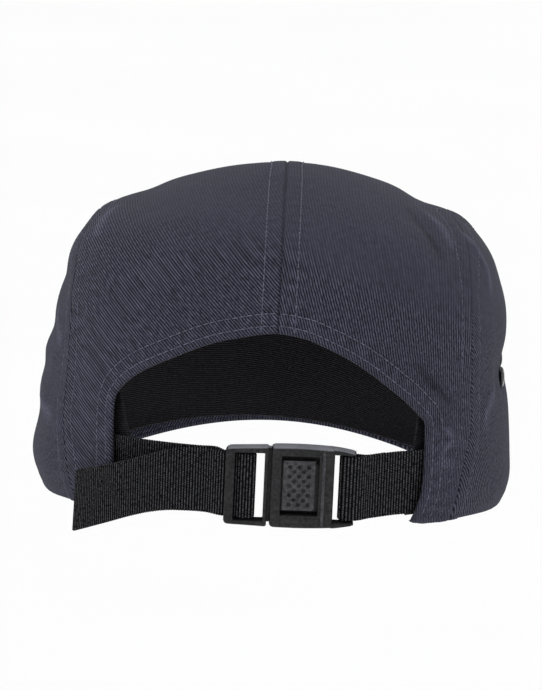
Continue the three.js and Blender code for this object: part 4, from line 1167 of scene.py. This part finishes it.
WEBBING = webbing_material()
webbing(left_stations, "strap_left_webbing", "strap_left", 1.02, WEBBING, skew=-0.8)
webbing(right_stations, "strap_right_webbing", "strap_right", 1.2, WEBBING)

# %% [markdown]
# ## The buckle
# The buckle is moulded plastic with rounded edges. Its halves are rings: an outer outline and an
# inner one, with a rounded section between them. Working that out as a surface of two numbers,
# one round the ring and one round its section, gives clean edges that a boolean would not.

# %% Rings, bars and outlines
HALF_OPENING = STRAP_WIDTH / 2 + 0.6
HALF_RAILS = HALF_OPENING + 2.45


def outline(corners, radii, flats=14, turns=7):
    """A polygon with rounded corners: points along each side, then a curve round the corner."""
    corners = np.array(corners, float)
    before, after = np.roll(corners, 1, 0), np.roll(corners, -1, 0)
    radii = np.broadcast_to(radii, len(corners))[:, None]
    enter, leave = corners + unit(before - corners) * radii, corners + unit(after - corners) * radii
    t, f = np.linspace(0, 1, turns)[None, :, None], np.linspace(0, 1, flats + 2)[None, 1:-1, None]
    bend = enter[:, None] * (1 - t) ** 2 + 2 * corners[:, None] * t * (1 - t) + leave[:, None] * t**2
    side = leave[:, None] + (np.roll(enter, -1, 0) - leave)[:, None] * f
    return np.concatenate([bend, side], 1).reshape(-1, 2)


def box_corners(x, half, end_half=None):
    end_half = half if end_half is None else end_half
    return [(x[0], -half), (x[1], -end_half), (x[1], end_half), (x[0], half)]


def ring(outer, inner, back, face, round_face=0.9, round_back=0.5, round_hole=0.35):
    """A ring between two outlines: each section point is set by its distance from one outline
    and its depth, with quarter circles at the four edges."""
    back = np.broadcast_to(np.asarray(back, float), len(outer))
    way = unit(outer - inner)
    quarter = np.linspace(0, np.pi / 2, 5)
    parts = []
    for base, sign, radius, level, facing in (
        (inner, 1, round_hole, face, 1), (outer, -1, round_face, face, 1),
        (outer, -1, round_back, back, -1), (inner, 1, round_hole, back, -1),
    ):
        first = (sign > 0) == (facing > 0)
        angle = quarter if first else quarter[::-1]
        inset, drop = radius * (1 - np.cos(angle)), radius * (1 - np.sin(angle))
        flat = base[:, None] + sign * way[:, None] * inset[None, :, None]
        depth = np.broadcast_to(level, len(outer))[:, None] - facing * drop[None]
        parts.append(np.concatenate([flat, depth[..., None]], -1))
    loop = np.concatenate(parts, 1)
    return in_buckle(loop.reshape(-1, 3)), grid_cells(*loop.shape[:2], True, True).tolist()


def rounded_loop(low, high, radius=0.3, turns=4):
    """A rounded rectangle in two coordinates, with the corners' circles shrunk to fit."""
    low, high = np.asarray(low, float), np.asarray(high, float)
    radius = np.minimum(radius, (high - low).min(-1) / 2.01)
    angle = (np.arange(4)[:, None] * 90 + np.linspace(0, 90, turns)[None]).ravel()
    corner = np.repeat(np.array([[1, 1], [0, 1], [0, 0], [1, 0]]), turns, 0)
    radius = radius[..., None, None]
    middle = np.where(corner[None], high[..., None, :] - radius, low[..., None, :] + radius)
    return middle + radius * np.stack([np.cos(np.radians(angle)), np.sin(np.radians(angle))], -1)


def bar(x, y, z, radius=0.35, along=1, taper=None):
    """A rounded bar between two ends, with its edges softened at the ends too."""
    ends = (x, y, z)[along]
    t = np.concatenate([[0, 0.03, 0.1], np.linspace(0.2, 0.8, 8), [0.9, 0.97, 1]])
    inset = radius * (1 - np.sqrt(np.clip(1 - (1 - np.minimum(t, 1 - t) / 0.1).clip(0) ** 2, 0, 1)))
    others = [axis for axis in range(3) if axis != along]
    low = np.stack([np.full(len(t), (x, y, z)[axis][0]) + inset for axis in others], -1)
    high = np.stack([np.full(len(t), (x, y, z)[axis][1]) - inset for axis in others], -1)
    if taper is not None:
        high[:, 0] += taper * t**1.6
    loops = rounded_loop(low, high, radius)
    rings = np.empty((*loops.shape[:2], 3))
    rings[..., along] = (ends[0] + (ends[1] - ends[0]) * t)[:, None]
    rings[..., others[0]], rings[..., others[1]] = loops[..., 0], loops[..., 1]
    points, faces = loft(rings)
    return in_buckle(points), faces


# %% Plastic
BUCKLE_TOP = (0.0262, 0.0275)  # metres over the rim, where the painted highlight on upward faces begins


def plastic(name, base, light, wear_and_painted_light, roughness):
    """Moulded plastic with an eroded grain. Faces that look up along its top get a painted
    highlight: they are mixed towards a paler satin colour, as if lit from above."""
    n = Nodes(name, roughness, gloss=0.2)
    where = n.add("TexCoord", output="Object")
    height = n.split(where)[2]
    fine, grain = n.noise(where, 2400, 3, 0.65), n.between(n.noise(where, 800, 3, 0.7), 0.3, 0.7)
    wide = n.noise(where, 120, 3)
    mottle = n.math("MULTIPLY", grain, n.between(wide, 0.25, 0.75, 0.5, 1.2), clamp=True)
    color = n.mix(mottle, base, light)
    # painted highlight: faces whose normal points up, high on the buckle, are mixed to the paler colour
    upward = n.between(n.split(n.add("NewGeometry", output="Normal"))[2], 0.55, 0.9)
    upward = n.math("MULTIPLY", upward, n.between(height, *BUCKLE_TOP))
    color = n.mix(n.math("MULTIPLY", upward, n.between(wide, 0.2, 0.6, 0.7, 1.0)), color, wear_and_painted_light)
    return n.finish(color, n.bump(fine, 0.06, 0.6),
                    n.between(wide, 0.3, 0.7, roughness - 0.05, roughness + 0.1))


# the third colour of each is the painted highlight on its upward faces
PLASTIC = plastic("moulded plastic", srgb(8, 8, 9), srgb(50, 50, 52), srgb(126, 127, 134), 0.45)
BUTTON = plastic("button plastic", srgb(30, 30, 32), srgb(80, 79, 84), srgb(90, 90, 96), 0.5)
RUBBED = plastic("rubbed ridge", srgb(34, 34, 37), srgb(84, 84, 89), srgb(104, 105, 112), 0.4)

# %% Male half: a frame with two slots, and the tongue that enters the other half
frame_outer = outline(box_corners((BAR_LEFT[0], BAR_RIGHT[1]), HALF_RAILS - 0.9, HALF_RAILS - 0.2),
                      (1.8, 0.9, 0.9, 2.6))
frame_inner = outline(box_corners((BAR_LEFT[1], BAR_RIGHT[0]), HALF_OPENING), 0.5)
under_bar = TAIL_OUT + STRAP_THICK / 2 + LAYER_GAP
middle_line = (frame_outer + frame_inner) / 2
left_bar = (middle_line[:, 0] < BAR_LEFT[1]) & (np.abs(middle_line[:, 1]) < HALF_OPENING - 0.3)
frame_back = np.where(left_bar, under_bar, -2.2)
male = together([
    ring(frame_outer, frame_inner, frame_back, 2.6),
    bar(BAR_MIDDLE, (-HALF_OPENING - 0.5, HALF_OPENING + 0.5), (MIDDLE_SIDE - 0.5, MIDDLE_SIDE + 0.5), 0.4),
    bar((BAR_RIGHT[0] + 0.4, BODY_LEFT + 19), (-9.3, 9.3), (-1.2, 1.2), 0.3, along=0),
    bar((BAR_RIGHT[0] + 0.3, BODY_LEFT - 0.02), (-13.8, 15.2), (-1.2, 1.2), 0.05),
])
make_piece("buckle_male_shell", *male, node="buckle_male", slot="buckle_plastic", material=PLASTIC)

# %% Female half: the body with its window, two arms and the loop bar
WINDOW, WINDOW_HALF, WINDOW_RISE = (BODY_LEFT + 3.8, BODY_LEFT + 17.7), 11.6, 0.9
body_outer = outline(box_corners((BODY_LEFT, BODY_RIGHT), HALF_RAILS - 0.15, HALF_RAILS - 0.5),
                     (1.7, 0.5, 0.5, 1.7))
body_inner = outline(box_corners(WINDOW, WINDOW_HALF), 0.6) + [0, WINDOW_RISE]
along_body = (body_outer[:, 0] - BODY_LEFT) / (BODY_RIGHT - BODY_LEFT)
long_side = np.sign(body_outer[:, 1]) * (np.abs(body_outer[:, 1]) > 12)
body_outer[:, 1] += 0.35 * np.sin(np.pi * along_body) * long_side
arm = bar((BODY_RIGHT - 1.2, ARM_END), (HALF_OPENING, HALF_RAILS - 0.25), (-2.7, 2.5), 0.8,
          along=0, taper=-1.6)
local = (arm[0] - buckle_origin) @ np.stack([buckle_along, buckle_up, buckle_out]).T
other_arm = in_buckle(local * [1, -1, 1]), [face[::-1] for face in arm[1]]
female = together([
    ring(body_outer, body_inner, -3.0, 2.8, round_face=1.2, round_hole=0.5),
    bar((BODY_LEFT + 0.8, BODY_RIGHT - 0.8), (-HALF_RAILS + 1.2, HALF_RAILS - 1.2), (-2.9, -1.5), 0.3,
        along=0),
    arm, other_arm,
    bar(LOOP_BAR, (-HALF_OPENING - 0.4, HALF_OPENING + 0.4), (LOOP_SIDE - 0.7, LOOP_SIDE + 0.7), 0.6),
])
make_piece("buckle_female_shell", *female, node="buckle_female", slot="buckle_plastic", material=PLASTIC)
ridge = bar((BODY_LEFT + 18.8, BODY_LEFT + 20), (-HALF_RAILS + 0.6, HALF_RAILS - 0.6), (2.3, 3.2), 0.35)
make_piece("buckle_female_ridge", *ridge, slot="buckle_plastic", material=RUBBED)

# %% Button with dimples
dimple_rows = 1.85 * np.arange(-4, 5)
dimples = np.array([(x, y) for k, y in enumerate(dimple_rows)
                    for x in ((-3.5, 0, 3.5) if k % 2 == 0 else (-1.75, 1.75))])
button_x = (WINDOW[0] + 0.5 + WINDOW[1] - 1.2) / 2
half = np.array([(WINDOW[1] - WINDOW[0] - 1.7) / 2, WINDOW_HALF - 1.9])
x, y = np.meshgrid(half[0] * (2 * marks(80, 3) - 1), half[1] * (2 * marks(130, 3) - 1), indexing="ij")
away = ((x[..., None] - dimples[:, 0]) ** 2 + (y[..., None] - dimples[:, 1]) ** 2) ** 0.5
dent = np.exp(-((away / 0.72) ** 4)).sum(-1)
lip = np.exp(-(((away - 1.0) / 0.3) ** 2)).sum(-1)
inset = np.minimum(half[0] - np.abs(x), half[1] - np.abs(y))
face = 2.6 - 0.12 * (x / half[0]) ** 2 - roll(inset, 0.6) - 1.0 * dent + 0.1 * lip
top = np.stack([x + button_x, y + WINDOW_RISE, face], -1).reshape(-1, 3)
low = np.stack([x + button_x, y + WINDOW_RISE, np.full(x.shape, 1.5)], -1).reshape(-1, 3)
points, faces = closed_sheet(in_buckle(top), in_buckle(low), grid_cells(*x.shape))
make_piece("buckle_button_face", points, faces, "buckle_button", "button_plastic", material=BUTTON)

# %% [markdown]
# ## Eyelets
# An eyelet is pressed metal: a rounded flange outside, a barrel through the cloth and a rolled
# foot inside. It is a profile turned about its axis, with a black enamel finish.

# %% Eyelets
def enamel():
    n = Nodes("black enamel", 0.28, metallic=0.6, coat=0.5)
    wear_and_painted_light = n.noise(n.add("TexCoord", output="Object"), 700, 4, 0.6)
    return n.finish(n.mix(n.between(wear_and_painted_light, 0.55, 0.8), srgb(12, 12, 13), srgb(40, 40, 43)),
                    n.bump(wear_and_painted_light, 0.03, 0.4))


ENAMEL = enamel()
# radius and depth of the eyelet's section, mm; positive is outside the cloth
EYELET = curve(np.array([
    [1.7, -2.3], [1.7, -1.0], [1.7, 0.6], [1.8, 1.12], [2.25, 1.48], [2.9, 1.4], [3.5, 1.05],
    [3.78, 0.72], [3.6, 0.6], [2.9, 0.68], [2.2, 0.62], [2.12, 0.0], [2.12, -1.6], [2.3, -2.1],
    [2.8, -2.2], [3.15, -2.35], [3.05, -2.62], [2.5, -2.68], [1.9, -2.62], [1.7, -2.3],
]), np.linspace(0, 1, 41)[:-1])
for (name, bearing), place in zip(EYELETS.items(), EYELET_PLACES):
    axis = unit(np.cross(*slopes(skin, place, 0.01)))  # over a wider step than the crown's
    side = unit(np.cross(axis, [0, 0, 1.0]))
    angle = np.linspace(0, 2 * np.pi, 41)[:-1, None]
    spoke = np.cos(angle) * side + np.sin(angle) * np.cross(axis, side)
    grid = skin(place) + EYELET[None, :, :1] * spoke[:, None] + EYELET[None, :, 1:] * axis
    make_piece(name + "_ring", grid.reshape(-1, 3), grid_cells(*grid.shape[:2], True, True), name,
               "eyelet_metal", material=ENAMEL)

# %% [markdown]
# ## Camera, floor and light
# The picture is taken from straight behind with a long lens, nine degrees above the rim, and
# the cap tips a little to one side. The cap is worn, so it floats as if on a head. The floor and
# the backdrop are pale and plain. Two wide lights stand at the sides and one above, because
# light that grazes the cloth shows its welts and creases; the left one is a little stronger.

# %% Camera
def stand(name, data, sides, spot):
    """Stands a camera or a lamp at a spot, turned by its right, its up and its back."""
    thing = bpy.data.objects.new(name, data)
    bpy.context.scene.collection.objects.link(thing)
    pose = np.eye(4)
    pose[:3, :3], pose[:3, 3] = np.stack(sides, 1), spot
    thing.matrix_world = Matrix(pose.tolist())
    return thing


ELEVATION, ROLL, DISTANCE, LENS = math.radians(9.0), math.radians(2.3), 2.3, 312.4
SHIFT_RIGHT, SHIFT_UP = -0.00015, 0.0542
forward = np.array([0, math.cos(ELEVATION), -math.sin(ELEVATION)])
level_right, level_up = np.array([1.0, 0, 0]), np.array([0, math.sin(ELEVATION), math.cos(ELEVATION)])
right = level_right * math.cos(ROLL) + level_up * math.sin(ROLL)
up = level_up * math.cos(ROLL) - level_right * math.sin(ROLL)
lens = bpy.data.cameras.new("camera")
lens.lens, lens.sensor_width, lens.clip_end = LENS, 36.0, 60
spot = -DISTANCE * forward + SHIFT_RIGHT * right + SHIFT_UP * up
bpy.context.scene.camera = stand("camera", lens, (right, up, -forward), spot)
print("camera at", spot.round(3).tolist())

# %% Floor and lights
FLOOR, FLOOR_HEIGHT, LIGHT_WIDTH = 9, -0.42, math.radians(70)
floor_mesh = bpy.data.meshes.new("floor")
corners = [(x * FLOOR, y * FLOOR, FLOOR_HEIGHT) for x, y in ((-1, -1), (1, -1), (1, 1), (-1, 1))]
floor_mesh.from_pydata(corners, [], [(0, 1, 2, 3)])
floor = bpy.data.objects.new("floor", floor_mesh)
bpy.context.scene.collection.objects.link(floor)
pale = Nodes("pale floor", 0.9)
speckle = pale.noise(pale.add("TexCoord", output="Object"), 3)
floor_mesh.materials.append(pale.finish(pale.mix(speckle, (0.94, 0.94, 0.94, 1), (0.96, 0.96, 0.96, 1))))

world = bpy.data.worlds.new("studio")
world.use_nodes = True
world.node_tree.nodes["Background"].inputs["Color"].default_value = (1, 1, 1, 1)
world.node_tree.nodes["Background"].inputs["Strength"].default_value = 0.6
bpy.context.scene.world = world


def soft_light(name, source, strength):
    """A wide, distant light from a direction: its edge is 70 degrees across, so shadows melt."""
    lamp = bpy.data.lights.new(name, "SUN")
    lamp.energy, lamp.angle = strength, LIGHT_WIDTH
    away = unit(np.array(source))
    side = unit(np.cross([0, 0, 1.0], away))
    stand(name, lamp, (side, np.cross(away, side), away), 2 * away)


soft_light("left light", (-0.8, -0.3, 0.5), 0.95)
soft_light("right light", (0.8, -0.3, 0.5), 0.7)
soft_light("top light", (-0.15, -0.2, 0.9), 0.6)
bpy.context.scene.view_settings.view_transform = "Standard"
